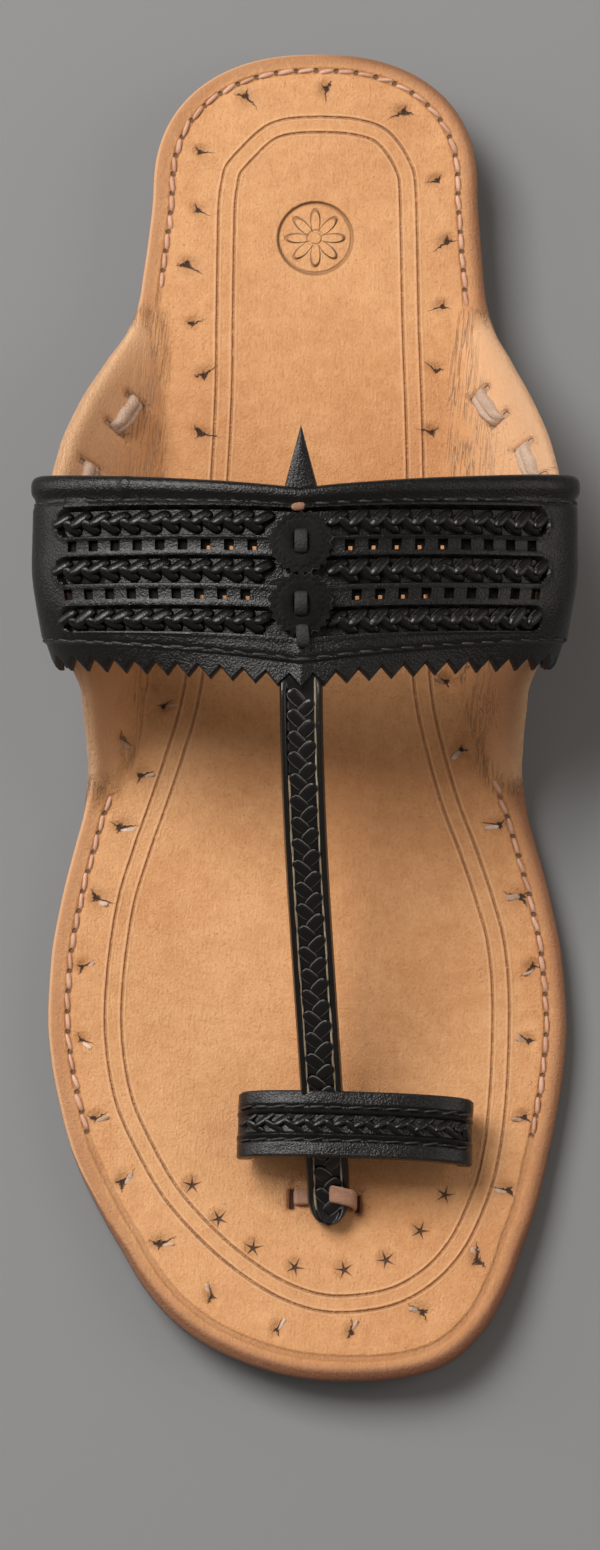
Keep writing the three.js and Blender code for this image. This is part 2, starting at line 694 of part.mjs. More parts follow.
function makeToeLace() {
  const steps = toeLacePath(laceY).map((_, i) => i);
  return slab(steps, [-1, 1], (i, side, face) => {
    const path = toeLacePath(laceY + (side * TOE_LACE_WIDTH) / 2);
    const before = path[max(i - 1, 0)];
    const after = path[min(i + 1, path.length - 1)];
    const run = [after[0] - before[0], after[1] - before[1]];
    const long = hypot(...run);
    const off = (face - 0.5) * LACE_WALL;
    return vec(
      path[i][0] - (run[1] / long) * off,
      laceY + (side * TOE_LACE_WIDTH) / 2,
      path[i][1] + (run[0] / long) * off,
    );
  });
}

const upright = (x, y, z) => ({
  origin: vec(x, y, z),
  along: vec(1, 0, 0),
  across: vec(0, 1, 0),
  out: vec(0, 0, 1),
});
const rectangle = (wide, deep) => [
  [-wide / 2, -deep / 2],
  [wide / 2, -deep / 2],
  [wide / 2, deep / 2],
  [-wide / 2, deep / 2],
];
const laceSlot = rectangle(LACE_WALL * 1.6 + 2 * FIT_GAP, TOE_LACE_WIDTH + 2 * FIT_GAP);

/** The straps of the shoe: band, strap and loop, joined where they cross. */
function makeUpper() {
  const deep = 3 * STRAP_WALL;
  const slot = framedPrism(upright(laceMiddle, laceY, strapTop(-laceY)), laceSlot, -deep, deep);
  return makeBand().add(makeStrap().subtract(slot)).add(makeLoop());
}

/** The footbed with its ears, the lace's slits and the slots that the loop's legs pass through. */
function makeInsole() {
  const flange = [0, 0.15, 0.38, 0.68, 1].map((q) => (q + 1) / 2);
  const across = [...flange.slice().reverse().map((c) => -c), ...flange];
  const place = (at, c, face) => insolePoint(at, c, (1 - face) * INSOLE_WALL);
  let insole = toSolid(slab(closeAtTips(44), across, place));
  for (const x of [laceLeft, laceRight]) {
    const frame = upright(x, laceY, laceFloor);
    insole = insole.subtract(framedPrism(frame, laceSlot, -2 * INSOLE_WALL, 2 * INSOLE_WALL));
  }
  for (const side of [-1, 1]) {
    const middle = (share, depth) => loopPoint(side * share, 0, depth);
    const low = middle(1, LOOP_WALL / 2);
    const out = middle(0.7, LOOP_WALL / 2).sub(low).normalize();
    const across2 = loopPoint(side, 1, 0).sub(loopPoint(side, -1, 0)).normalize();
    const along = across2.clone().cross(out).normalize();
    const frame = { origin: low, along, across: across2, out };
    const slot = rectangle(LOOP_WALL + 2 * FIT_GAP, LOOP_WIDTH + 2 * FIT_GAP);
    insole = insole.subtract(framedPrism(frame, slot, -INSOLE_WALL, 2 * INSOLE_WALL));
  }
  return insole;
}

/** The bottom sole, with toe spring and a waist that drops from the heel to the forefoot. */
function makeOutsole() {
  const place = (at, c, face) =>
    vec(spine(at) + c * halfWidth(at, outsoleSides), yAt(at), underside(at) + face * OUTSOLE_WALL);
  return slab(closeAtTips(44), [-1, 1], place);
}

/** The low stacked heel under the outsole. */
function makeHeel() {
  const stations = closeAtTips(28).map((t) => t * 2 * HEEL_BREAST_AT);
  const kept = [...stations.filter((at) => at < HEEL_BREAST_AT - 0.005), HEEL_BREAST_AT];
  return slab(kept, [-1, 1], (at, c, face) =>
    vec(
      spine(at) + c * halfWidth(at, outsoleSides),
      yAt(at),
      face * (HEEL_HEIGHT - FIT_GAP),
    ),
  );
}

/** A scalloped leather rosette with the knot of its lace, standing on a frame. */
function makeRosette(frame) {
  const outline = evenly(ROSETTE_TEETH * 2 - 1, 0, ROSETTE_TEETH * 2 - 1).map((i) => {
    const angle = (i * PI) / ROSETTE_TEETH;
    const radius = ROSETTE_SIZE / 2 - (i % 2) * TOOTH_DEPTH;
    return [radius * cos(angle), radius * sin(angle)];
  });
  const disc = framedPrism(frame, outline, 0, ROSETTE_WALL);
  const knot = [
    [-0.5, 0],
    [-0.36, 0.8],
    [0, 1],
    [0.36, 0.8],
    [0.5, 0],
  ].map(([y, z]) => [y * KNOT_LENGTH, ROSETTE_WALL - 0.2 + z * KNOT_RISE]);
  const sideways = {
    origin: frame.origin,
    along: frame.across,
    across: frame.out,
    out: frame.along,
  };
  return disc.add(framedPrism(sideways, knot, -KNOT_WIDTH / 2, KNOT_WIDTH / 2));
}

/** Frames of the rear and front rosettes. The front one leans back over the rear one's edge. */
function rosetteFrames() {
  return ROSETTE_ROWS.map((v, i) => {
    const frame = bandFrame(0, v);
    frame.along = vec(1, 0, 0);
    frame.across = bandPoint(0, v + 0.2, 0).sub(bandPoint(0, v - 0.2, 0)).normalize();
    frame.out = frame.along.clone().cross(frame.across).negate();
    const apart = (ROSETTE_ROWS[1] - ROSETTE_ROWS[0]) * BAND_WIDTH;
    const lean = i === 0 ? 0 : (ROSETTE_WALL + 2 * FIT_GAP) / apart;
    frame.across.addScaledVector(frame.out, -lean).normalize();
    frame.out = frame.along.clone().cross(frame.across).negate();
    const lift = FIT_GAP + (lean * ROSETTE_SIZE) / 2;
    frame.origin.addScaledVector(frame.out, lift);
    return frame;
  });
}

// Ear laces: place along the shoe, place up the ear and slant, on the face towards the foot
const EAR_LACES = [
  { name: 'outer_low', side: -1, at: 0.292, up: 0.55, slant: 26 },
  { name: 'outer_high', side: -1, at: 0.356, up: 0.79, slant: 8 },
  { name: 'inner_low', side: 1, at: 0.287, up: 0.57, slant: 28 },
  { name: 'inner_high', side: 1, at: 0.343, up: 0.85, slant: 12 },
];

/** A lace that lies on an ear's inner face. */
function makeEarLace({ side, at, up, slant }) {
  const turn = degrees(slant);
  const reach = halfWidth(at, insoleSides) - BEND_SHARE * halfWidth(at, outsoleSides);
  const place = (s, t, face) => {
    const along = s * EAR_LACE_LENGTH * 0.5;
    const wide = t * EAR_LACE_WIDTH * 0.5;
    const forward = (along * cos(turn) - wide * sin(turn)) / LENGTH;
    const upward = (along * sin(turn) + wide * cos(turn)) / hypot(reach, earRise(at));
    const rise = FIT_GAP + face * LACE_WALL;
    return flangePoint(at + forward, side, up + upward, -rise);
  };
  return slab(evenly(3, -1, 1), [-1, 1], place);
}

const sandal = new THREE.Group();
function addPiece(name, geometry, material) {
  const mesh = new THREE.Mesh(geometry, material);
  mesh.name = name;
  sandal.add(mesh);
}

addPiece('outsole', toGeometry(toSolid(makeOutsole())), SOLE_EDGE);
addPiece('heel_lift', toGeometry(toSolid(makeHeel())), SOLE_EDGE);
addPiece('insole', toGeometry(makeInsole()), NATURAL);
addPiece('upper', toGeometry(makeUpper()), BLACK);
for (const [i, frame] of rosetteFrames().entries()) {
  addPiece(['rosette_rear', 'rosette_front'][i], toGeometry(makeRosette(frame)), BLACK);
}
addPiece('toe_lace', toGeometry(toSolid(makeToeLace())), LACE);
for (const lace of EAR_LACES) {
  addPiece(`ear_lace_${lace.name}`, toGeometry(toSolid(makeEarLace(lace))), LACE);
}

export default sandal;
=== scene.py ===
"""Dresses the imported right-foot leather sandal: footbed, soles, instep band, straps and lacing."""

from __future__ import annotations

import logging
import math
from dataclasses import dataclass, field
from enum import Enum
from itertools import product
from typing import Callable, Sequence

import bmesh
import bpy
import numpy as np
from mathutils import Matrix

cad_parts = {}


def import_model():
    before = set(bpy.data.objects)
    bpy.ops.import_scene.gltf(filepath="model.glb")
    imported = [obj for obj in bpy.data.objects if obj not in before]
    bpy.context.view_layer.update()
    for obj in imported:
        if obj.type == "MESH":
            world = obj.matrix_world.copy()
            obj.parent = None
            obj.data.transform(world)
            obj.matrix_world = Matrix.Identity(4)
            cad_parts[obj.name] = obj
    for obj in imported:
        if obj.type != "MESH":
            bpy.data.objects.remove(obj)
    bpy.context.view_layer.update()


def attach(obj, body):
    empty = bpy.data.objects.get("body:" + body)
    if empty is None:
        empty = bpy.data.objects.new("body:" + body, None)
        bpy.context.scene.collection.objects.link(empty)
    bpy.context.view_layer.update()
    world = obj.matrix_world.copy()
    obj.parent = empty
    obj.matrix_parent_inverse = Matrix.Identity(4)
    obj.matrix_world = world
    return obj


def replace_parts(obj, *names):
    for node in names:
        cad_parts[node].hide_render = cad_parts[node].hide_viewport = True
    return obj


log = logging.getLogger("sandal")

MM = 0.001
BODY = "root"

# Sizes that both a shape and its finish follow, in millimetres
STITCH_INSET = 4.15
STITCH_PITCH = 4.2
BORDER_GAP = 3.4

Array = np.ndarray
Colour = tuple[float, float, float]
Pair = tuple[float, float]


class Slot(Enum):
    """The record's material slots."""

    NATURAL = "natural_leather"
    SOLE = "sole_leather"
    BLACK = "black_leather"
    LACE = "lace_leather"


class Side(Enum):
    """Which side of the foot: the sign of x."""

    OUTER = -1
    INNER = 1


class Mark(Enum):
    """What is pressed or cut into the footbed; the number is stored with each point."""

    SLIT = 1
    STAR = 2
    ROSETTE = 3
    SLOT = 4


class Span(Enum):
    """How a row of the footbed's profile is measured."""

    MIDDLE = "share of the way from the middle to the border"
    BORDER = "millimetres outside the border's outer line"
    BETWEEN = "share of the way from the border to the seam"
    EDGE = "millimetres inside the edge"


# Small shape helpers


def unit(vectors: Array) -> Array:
    """Each vector divided by its own length."""
    length = np.linalg.norm(vectors, axis=-1, keepdims=True)
    return vectors / np.maximum(length, 1e-12)


def stack(x: Array, y: Array, z: Array) -> Array:
    """Three coordinate arrays as one array of points."""
    return np.stack(np.broadcast_arrays(x, y, z), axis=-1).astype(float)


def smoothstep(low: float, high: float, value: Array) -> Array:
    """0 below low, 1 above high, and 3t^2 - 2t^3 between them."""
    t = np.clip((value - low) / (high - low), 0.0, 1.0)
    return t * t * (3 - 2 * t)


def bell(value: Array, width: float) -> Array:
    """exp(-(value / width)^2), a soft bump one width wide on each side."""
    return np.exp(-((value / width) ** 2))


def rounded(past: Array, width: float) -> Array:
    """0 up to 0 and 1 at width: the square root of the share, which rounds an edge off."""
    return np.sqrt(np.clip(past / width, 0, 1))


def bulge(off: Array, half: float) -> Array:
    """Half an ellipse: 1 in the middle and 0 from half a width outwards."""
    return np.sqrt(np.clip(1 - (off / half) ** 2, 0, 1))


def local_to(x: Array, y: Array, turn: float) -> tuple[Array, Array]:
    """Plan offsets as seen along and across a direction that is turned by an angle."""
    c, s = math.cos(turn), math.sin(turn)
    return x * c + y * s, y * c - x * s


def powered(value: Array, power: float) -> Array:
    """The value's sign times its size to a power."""
    return np.sign(value) * np.abs(value) ** power


def jitter(seed: int, count: int) -> Array:
    """Three normal random numbers for each of count places, the same in each run."""
    return np.random.default_rng(seed).normal(0, 1, (count, 3))


def filled(stops: Sequence[float], step: float) -> Array:
    """The stops in order, with evenly spaced values between them no further apart than step.

    Args:
        stops: the values that the result has to hold.
        step: the widest gap.

    Returns:
        All the values in order.
    """
    marks = np.unique(np.round(np.asarray(stops, float), 4))
    runs = [marks[:1]]
    for low, high in zip(marks[:-1], marks[1:]):
        count = max(1, int(math.ceil((high - low) / step)))
        runs.append(np.linspace(low, high, count + 1)[1:])
    return np.concatenate(runs)


def sorted_by(key: Array, value: Array) -> tuple[Array, Array]:
    """Both arrays in the order of the first."""
    order = np.argsort(key)
    return key[order], value[order]


def run_along(points: Array) -> Array:
    """Distance from a polyline's first point to each of its points."""
    return np.concatenate([[0], np.cumsum(np.linalg.norm(np.diff(points, axis=0), axis=1))])


def rail(points: Array, count: int) -> Array:
    """Points spaced evenly by length along a polyline of plan or space points."""
    run = run_along(points)
    places = np.linspace(0, run[-1], count)
    return np.stack([np.interp(places, run, column) for column in points.T], -1)


def cubic(p0: Array, p1: Array, p2: Array, p3: Array, t: Array) -> Array:
    """Catmull-Rom curve from p1 to p2: its end slopes are half the chords p0 p2 and p1 p3."""
    bend = 2 * p0 - 5 * p1 + 4 * p2 - p3
    return 0.5 * (2 * p1 + (p2 - p0) * t + bend * t**2 + (3 * p1 - p0 - 3 * p2 + p3) * t**3)


def ring_spline(points: Sequence[Pair], per_span: int = 40) -> Array:
    """A closed Catmull-Rom curve through plan points, with per_span samples to a span."""
    start = np.asarray(points, float)[:, None, :]
    p0, p1, p2, p3 = (np.roll(start, shift, 0) for shift in (1, 0, -1, -2))
    t = np.linspace(0, 1, per_span, endpoint=False)[None, :, None]
    return cubic(p0, p1, p2, p3, t).reshape(-1, 2)


class SmoothTable:
    """A monotone cubic curve through rows of (place, value), level at both ends."""

    def __init__(self, rows: Sequence[tuple[float, float]]) -> None:
        """Keeps the rows and works out the slope at each: the harmonic mean of its neighbours'."""
        self.x = np.array([row[0] for row in rows], float)
        self.y = np.array([row[1] for row in rows], float)
        step = np.diff(self.y) / np.diff(self.x)
        slope = np.zeros_like(self.x)
        same = step[:-1] * step[1:] > 0
        total = np.where(same, step[:-1] + step[1:], 1.0)
        slope[1:-1] = np.where(same, 2 * step[:-1] * step[1:] / total, 0.0)
        self.slope = slope

    def __call__(self, place: Array) -> Array:
        """Cubic Hermite value at each place.

        Args:
            place: where to read the curve.

        Returns:
            The curve's values, held at its ends.
        """
        place = np.clip(np.asarray(place, float), self.x[0], self.x[-1])
        i = np.clip(np.searchsorted(self.x, place, "right") - 1, 0, len(self.x) - 2)
        wide = self.x[i + 1] - self.x[i]
        t = (place - self.x[i]) / wide
        rest = 1 - t
        return (
            self.y[i] * rest * rest * (1 + 2 * t)
            + self.y[i + 1] * t * t * (3 - 2 * t)
            + wide * t * rest * (self.slope[i] * rest - self.slope[i + 1] * t)
        )


def grid_faces(rows: int, columns: int, ring: bool = False, closed: bool = False) -> Array:
    """Quads over a grid of points.

    Args:
        rows: number of rows of points.
        columns: points in a row.
        ring: whether each row joins its own start.
        closed: whether the last row joins the first.

    Returns:
        One row of four point numbers per quad.
    """
    i = np.arange(rows if closed else rows - 1)[:, None]
    j = np.arange(columns if ring else columns - 1)[None, :]
    i2, j2 = (i + 1) % rows, (j + 1) % columns
    corners = (i * columns + j, i * columns + j2, i2 * columns + j2, i2 * columns + j)
    return np.stack(np.broadcast_arrays(*corners), -1).reshape(-1, 4)


def sheet_faces(keep: Array) -> Array:
    """Quads of a thick sheet over a grid of cells, some of which are cut out.

    The upper points come first, then the lower points in the same order. Each kept cell has an
    upper and a lower quad, and each border between a kept and a missing cell gets a wall.

    Args:
        keep: one truth value per cell.

    Returns:
        One row of four point numbers per quad.
    """
    rows, columns = keep.shape[0] + 1, keep.shape[1] + 1
    number = np.arange(rows * columns).reshape(rows, columns)
    lower = rows * columns
    cells = np.stack([number[:-1, :-1], number[:-1, 1:], number[1:, 1:], number[1:, :-1]], -1)
    cells = cells[keep]
    padded = np.pad(keep, 1)
    across = padded[1:-1, 1:] != padded[1:-1, :-1]
    along = padded[1:, 1:-1] != padded[:-1, 1:-1]
    ends = [(number[:-1, :][across], number[1:, :][across])]
    ends.append((number[:, :-1][along], number[:, 1:][along]))
    walls = [np.stack([a, b, b + lower, a + lower], -1) for a, b in ends]
    return np.concatenate([cells, cells[:, ::-1] + lower, *walls])


@dataclass
class Form:
    """Points in millimetres, quads, and values that ride on the points."""

    points: Array
    faces: Array
    values: dict[str, Array] = field(default_factory=dict)

    @staticmethod
    def together(forms: Sequence["Form"]) -> "Form":
        """All the forms as one, keeping the values that each of them has.

        Args:
            forms: the forms to join, in order.

        Returns:
            One form.
        """
        starts = np.cumsum([0, *(len(form.points) for form in forms[:-1])])
        shared = [name for name in forms[0].values if all(name in form.values for form in forms)]
        return Form(
            np.concatenate([form.points for form in forms]),
            np.concatenate([form.faces + start for form, start in zip(forms, starts)]),
            {name: np.concatenate([form.values[name] for form in forms]) for name in shared},
        )

    @staticmethod
    def sheet(upper: Array, lower: Array, keep: Array | None = None, **values: Array) -> "Form":
        """A thick sheet between two grids of points.

        Args:
            upper: the grid of its upper face.
            lower: the grid of its lower face.
            keep: one truth value per cell, or none for a whole sheet.
            values: values for the upper points, then the lower ones.

        Returns:
            The sheet.
        """
        if keep is None:
            keep = np.ones((upper.shape[0] - 1, upper.shape[1] - 1), bool)
        points = np.concatenate([upper.reshape(-1, 3), lower.reshape(-1, 3)])
        return Form(points, sheet_faces(keep), values)


@dataclass
class Stance:
    """Places on a surface: where each is, and its directions along, across and out."""

    origin: Array
    along: Array
    across: Array
    out: Array

    @staticmethod
    def on(spot: Callable[..., Array], d: Array, f: Array, lift: Array, step: float) -> "Stance":
        """Places on a strap that face its inner end, its rear edge and outwards.

        Args:
            spot: the strap's points by place along, place across and height.
            d: places along it, in millimetres.
            f: places across it, in its own measure.
            lift: heights over it.
            step: how far across to look for its direction there.

        Returns:
            The places.
        """
        along = unit(spot(d + 0.4, f, lift) - spot(d - 0.4, f, lift))
        front = unit(spot(d, f + step, lift) - spot(d, f - step, lift))
        out = unit(np.cross(front, along))
        return Stance(spot(d, f, lift), along, -np.cross(along, out), out)

    def turned(self, angle: Array) -> "Stance":
        """The same places, turned about out by an angle in radians."""
        c, s = np.cos(angle)[..., None], np.sin(angle)[..., None]
        along = self.along * c + self.across * s
        return Stance(self.origin, along, self.across * c - self.along * s, self.out)

    def banked(self, angle: float) -> "Stance":
        """The same places, tipped about along so that out leans towards across."""
        c, s = math.cos(angle), math.sin(angle)
        out = self.out * c + self.across * s
        return Stance(self.origin, self.along, self.across * c - self.out * s, out)

    def moved(self, along: Array, across: Array, out: Array) -> "Stance":
        """The same directions, with each place shifted along them."""
        shifts = zip((along, across, out), (self.along, self.across, self.out))
        origin = self.origin + sum(np.asarray(by)[..., None] * way for by, way in shifts)
        return Stance(origin, self.along, self.across, self.out)

    def placed(self, form: Form, scale: Array | None = None) -> Form:
        """A copy of a small form at each place.

        Args:
            form: points given as (along, across, out).
            scale: one size factor per place and axis, or none.

        Returns:
            All the copies as one form, with a random value "part" per copy.
        """
        local = form.points[None] * (1 if scale is None else scale[:, None, :])
        ways = np.stack([self.along, self.across, self.out], 1)
        count = len(self.origin)
        points = self.origin[:, None, :] + local @ ways
        shift = (np.arange(count) * len(form.points))[:, None, None]
        tone = np.random.default_rng(7).uniform(0, 1, count)
        values = {key: np.tile(value, count) for key, value in form.values.items()}
        values["part"] = np.repeat(tone, len(form.points))
        return Form(points.reshape(-1, 3), (form.faces[None] + shift).reshape(-1, 4), values)


def pod(
    length: float, width: float, rise: float, sink: float, blunt: float = 2.6,
    square: float = 2.0, tip: float = 0.22, painted_edge: float = 0.0,
) -> Form:
    """A small closed pad: a ring of 14 points at each of 13 stations along it.

    Half the width at station s (from -1 to 1) is (1 - |s|^blunt)^(1/2), and the section is a
    superellipse of power square.

    Args:
        length: along it.
        width: across its middle.
        rise: height above its middle plane.
        sink: depth under it.
        blunt: how square its ends are.
        square: how flat its top and sides are.
        tip: share of the rise by which its far end drops and its near end lifts.
        painted_edge: the long edge that is pale, a raw cut edge with a painted highlight on it, 1 or
            -1, or 0 for both.

    Returns:
        The pad.
    """
    stations, around = 13, 14
    s = np.sin(np.linspace(-np.pi / 2, np.pi / 2, stations))[:, None]
    angle = np.linspace(0, 2 * np.pi, around, endpoint=False)[None, :]
    full = np.sqrt(np.maximum(1 - np.abs(s) ** blunt, 0.0))
    wide, up = powered(np.cos(angle), 2 / square), powered(np.sin(angle), 2 / square)
    z = np.where(up > 0, up * rise, up * sink) * full**0.8 - tip * rise * s
    points = stack(s * length / 2 + 0 * angle, wide * full * width / 2, z)
    # Pale cut edges carrying a painted highlight, on both long edges or on one chosen edge
    edge_nearness = np.abs(wide) if painted_edge == 0 else wide * painted_edge
    raw = smoothstep(0.72, 1.0, edge_nearness + 0 * s) * (up > -0.3) * (np.abs(s) < 0.93)
    faces = grid_faces(stations, around, ring=True)
    return Form(points.reshape(-1, 3), faces, {"raw": raw.ravel()})


def thread_bit(length: float, width: float) -> Form:
    """A plump stitch: a round pad whose ends dive into the leather."""
    form = pod(length, width, width * 0.55, width * 0.5, 3.2)
    form.points[:, 2] -= (np.abs(form.points[:, 0]) / (length / 2)) ** 3 * width * 0.55
    return form


def make_piece(
    name: str, form: Form, slot: Slot, finish: bpy.types.Material, crease: float = 38.0
) -> bpy.types.Object:
    """Puts a form into Blender as one object that rides on the part.

    Args:
        name: the object's name.
        form: its shape, in millimetres.
        slot: the record's material slot; not used.
        finish: its material.
        crease: edges sharper than this many degrees stay crisp.

    Returns:
        The new object, at the origin, with its place in its mesh.
    """
    mesh = bpy.data.meshes.new(name)
    count = len(form.faces)
    mesh.vertices.add(len(form.points))
    mesh.vertices.foreach_set("co", (form.points * MM).astype(np.float32).ravel())
    mesh.loops.add(count * 4)
    mesh.loops.foreach_set("vertex_index", form.faces.astype(np.int32).ravel())
    mesh.polygons.add(count)
    mesh.polygons.foreach_set("loop_start", np.arange(0, count * 4, 4, dtype=np.int32))
    mesh.update(calc_edges=True)
    for key, value in form.values.items():
        wide = value.ndim == 2
        layer = mesh.attributes.new(key, "FLOAT_VECTOR" if wide else "FLOAT", "POINT")
        layer.data.foreach_set("vector" if wide else "value", value.astype(np.float32).ravel())
    work = bmesh.new()
    work.from_mesh(mesh)
    bmesh.ops.remove_doubles(work, verts=work.verts, dist=2e-6)
    bmesh.ops.dissolve_degenerate(work, edges=work.edges, dist=1e-7)
    bmesh.ops.recalc_face_normals(work, faces=work.faces)
    work.to_mesh(mesh)
    work.free()
    mesh.polygons.foreach_set("use_smooth", np.ones(len(mesh.polygons), dtype=bool))
    mesh.set_sharp_from_angle(angle=math.radians(crease))
    mesh.materials.append(finish)
    piece = bpy.data.objects.new(name, mesh)
    bpy.context.scene.collection.objects.link(piece)
    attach(piece, BODY)
    log.info("%s: %d faces", name, len(mesh.polygons))
    return piece


# The shapes that the pieces share


@dataclass(frozen=True)
class Last:
    """The sole and its ears, in millimetres: toe to -y, heel to +y, inner side to +x."""

    length: float = 280.0
    ball: float = 106.6
    heel: float = 68.0
    waist: float = 67.0
    ear_span: float = 99.0
    ear_height: float = 32.0
    insole: float = 3.0
    outsole: float = 4.0
    heel_height: float = 8.0
    toe_spring: float = 5.0
    toe_swing: float = 9.0
    gap: float = 0.3
    heel_round: float = 0.107
    toe_round: float = 0.912
    bend_share: float = 0.84
    bend_soft: float = 0.25

    def _halves(self, rows: Sequence[tuple[float, float, float]]) -> SmoothTable:
        """Half widths from rows of (station, width it follows, share of half that width)."""
        return SmoothTable([(at, of / 2 * share) for at, of, share in rows])

    @property
    def forefoot_rows(self) -> list[tuple[float, float, float]]:
        """Rows that the insole and the outsole share, from the ball to the toe."""
        shares = [(0.646, 0.949), (0.69, 0.988), (0.735, 1.0), (0.765, 0.988), (0.794, 0.962)]
        shares += [(0.824, 0.926), (0.853, 0.878), (0.882, 0.818), (0.912, 0.744)]
        shares += [(0.95, 0.67), (1.0, 0.62)]
        return [(at, self.ball, share) for at, share in shares]

    def insole_half(self, at: Array) -> Array:
        """Half width of the footbed's upper edge at each station.

        Args:
            at: stations, from 0 at the heel tip to 1 at the toe tip.

        Returns:
            The half widths.
        """
        h, e, b = self.heel, self.ear_span, self.ball
        rows = [(0.107, h, 1.005), (0.147, h, 1.028), (0.179, h, 1.055), (0.215, e, 0.742)]
        rows += [(0.252, e, 0.81), (0.295, e, 0.903), (0.334, e, 0.969), (0.37, e, 1.0)]
        rows += [(0.42, e, 1.0), (0.47, e, 0.955), (0.511, e, 0.878), (0.546, e, 0.873)]
        rows += [(0.587, b, 0.87), *self.forefoot_rows]
        return self._rounded(at, self._halves(rows))

    def outsole_half(self, at: Array) -> Array:
        """Half width of the outsole at each station, narrow under the ears."""
        h, w, b = self.heel, self.waist, self.ball
        rows = [(0.107, h, 1.005), (0.16, h, 1.015), (0.25, w, 1.015), (0.34, w, 1.0)]
        rows += [(0.44, w, 1.03), (0.5, w, 1.13), (0.56, b, 0.81), (0.6, b, 0.885)]
        return self._rounded(at, self._halves([*rows, *self.forefoot_rows]))

    def _rounded(self, at: Array, sides: SmoothTable) -> Array:
        """The sides' half width with both tips rounded off as superellipses.

        Args:
            at: stations.
            sides: half width by station, without the tips.

        Returns:
            The half widths.
        """
        at = np.asarray(at, float)
        heel = np.clip(1 - at / self.heel_round, 0, 1)
        toe = np.clip((at - self.toe_round) / (1 - self.toe_round), 0, 1)
        heel_share = (1 - heel**2.3) ** (1 / 2.3)
        toe_share = (1 - toe**2.35) ** (1 / 2.35)
        return sides(at) * heel_share * toe_share

    def spine(self, at: Array) -> Array:
        """Sideways place of the sole's middle line."""
        rows = [(0, 0.22), (0.1, 0.2), (0.2, 0.12), (0.3, 0), (0.4, -0.02), (0.55, -0.05)]
        rows += [(0.7, -0.02), (0.824, 0.06), (0.882, 0.25), (0.941, 0.47), (0.97, 0.68)]
        return SmoothTable([*rows, (1, 1)])(at) * self.toe_swing

    def station(self, y: Array) -> Array:
        """Share of the length from the heel tip."""
        return 0.5 - np.asarray(y, float) / self.length

    def place(self, at: Array) -> Array:
        """The y of a station."""
        return self.length * (0.5 - np.asarray(at, float))

    def ear_rise(self, at: Array) -> Array:
        """Height of the ears' edge over the footbed."""
        rows = [(0.18, 0), (0.215, 0.13), (0.25, 0.36), (0.295, 0.66), (0.334, 0.88), (0.37, 1)]
        rows += [(0.45, 1), (0.49, 0.86), (0.52, 0.54), (0.546, 0.25), (0.585, 0)]
        return SmoothTable(rows)(at) * self.ear_height

    def underside(self, at: Array) -> Array:
        """Height of the underside: level heel, fall to the forefoot, spring at the toe."""
        spring = np.clip((np.asarray(at, float) - 0.8) / 0.2, 0, None) ** 2
        return self.heel_height * (1 - smoothstep(0.26, 0.62, at)) + self.toe_spring * spring

    def top(self, at: Array) -> Array:
        """Height of the level part of the footbed's upper face."""
        return self.underside(at) + self.outsole + self.gap + self.insole

    def bend(self, at: Array) -> Array:
        """Half width at which the footbed starts to turn up into the ears."""
        return self.bend_share * self.outsole_half(at)

    def ear_slope(self, at: float) -> float:
        """Length of the straight line from the ear's bend to its edge."""
        return math.hypot(self.insole_half(at) - self.bend(at), self.ear_rise(at))

    def _rise_share(self, q: Array) -> Array:
        """sqrt(q^2 + c^2) - c, as a share of its value at q = 1."""
        c = self.bend_soft
        return (np.hypot(q, c) - c) / (math.hypot(1, c) - c)

    def flange(self, at: Array, side: Array, q: Array, depth: Array) -> Array:
        """Points of an ear: q is 0 at the bend and 1 at the edge, depth is under its inner face.

        The ear rises as sqrt(q^2 + c^2), and depth runs square to it in the section.

        Args:
            at: stations.
            side: the sign of x.
            q: shares of the way from the bend to the edge.
            depth: depths under the inner face.

        Returns:
            Points in space.
        """
        bend = self.bend(at)
        reach = self.insole_half(at) - bend
        rise = self.ear_rise(at)
        c = self.bend_soft
        slope = rise / (math.hypot(1, c) - c) * q / np.hypot(q, c)
        long = np.hypot(reach, slope)
        x = self.spine(at) + side * (bend + reach * q + slope / long * depth)
        z = self.top(at) + rise * self._rise_share(q) - reach / long * depth
        return stack(x, self.place(at), z)

    def climb(self, x: Array, y: Array) -> Array:
        """Share of the way out from the ears' bend, at 0, to the edge, at 1."""
        at = self.station(y)
        bend = self.bend(at)
        reach = np.maximum(self.insole_half(at) - bend, 4.0)
        return np.clip((np.abs(x - self.spine(at)) - bend) / reach, 0, 1.1)

    def surface(self, x: Array, y: Array) -> Array:
        """Height of the footbed's smooth upper face over any plan point."""
        at = self.station(y)
        return self.top(at) + self.ear_rise(at) * self._rise_share(self.climb(x, y))

    def normal(self, x: Array, y: Array) -> Array:
        """Upward normal of that face, from its slopes over half a millimetre each way."""
        e = 0.5
        sx = (self.surface(x + e, y) - self.surface(x - e, y)) / (2 * e)
        sy = (self.surface(x, y + e) - self.surface(x, y - e)) / (2 * e)
        return unit(stack(-sx, -sy, 1.0))

    def outline(self, half: Callable[[Array], Array], samples: int = 3000) -> Array:
        """Closed plan outline: heel tip, inner side, toe tip and back along the outer side.

        Args:
            half: half width by station.
            samples: points to a side.

        Returns:
            The outline's plan points.
        """
        at = (1 - np.cos(np.linspace(0, np.pi, samples))) / 2
        wide = half(at)
        inner = np.stack([self.spine(at) + wide, self.place(at)], -1)
        outer = np.stack([self.spine(at) - wide, self.place(at)], -1)
        return np.concatenate([inner, outer[::-1][1:-1]])


LAST = Last()


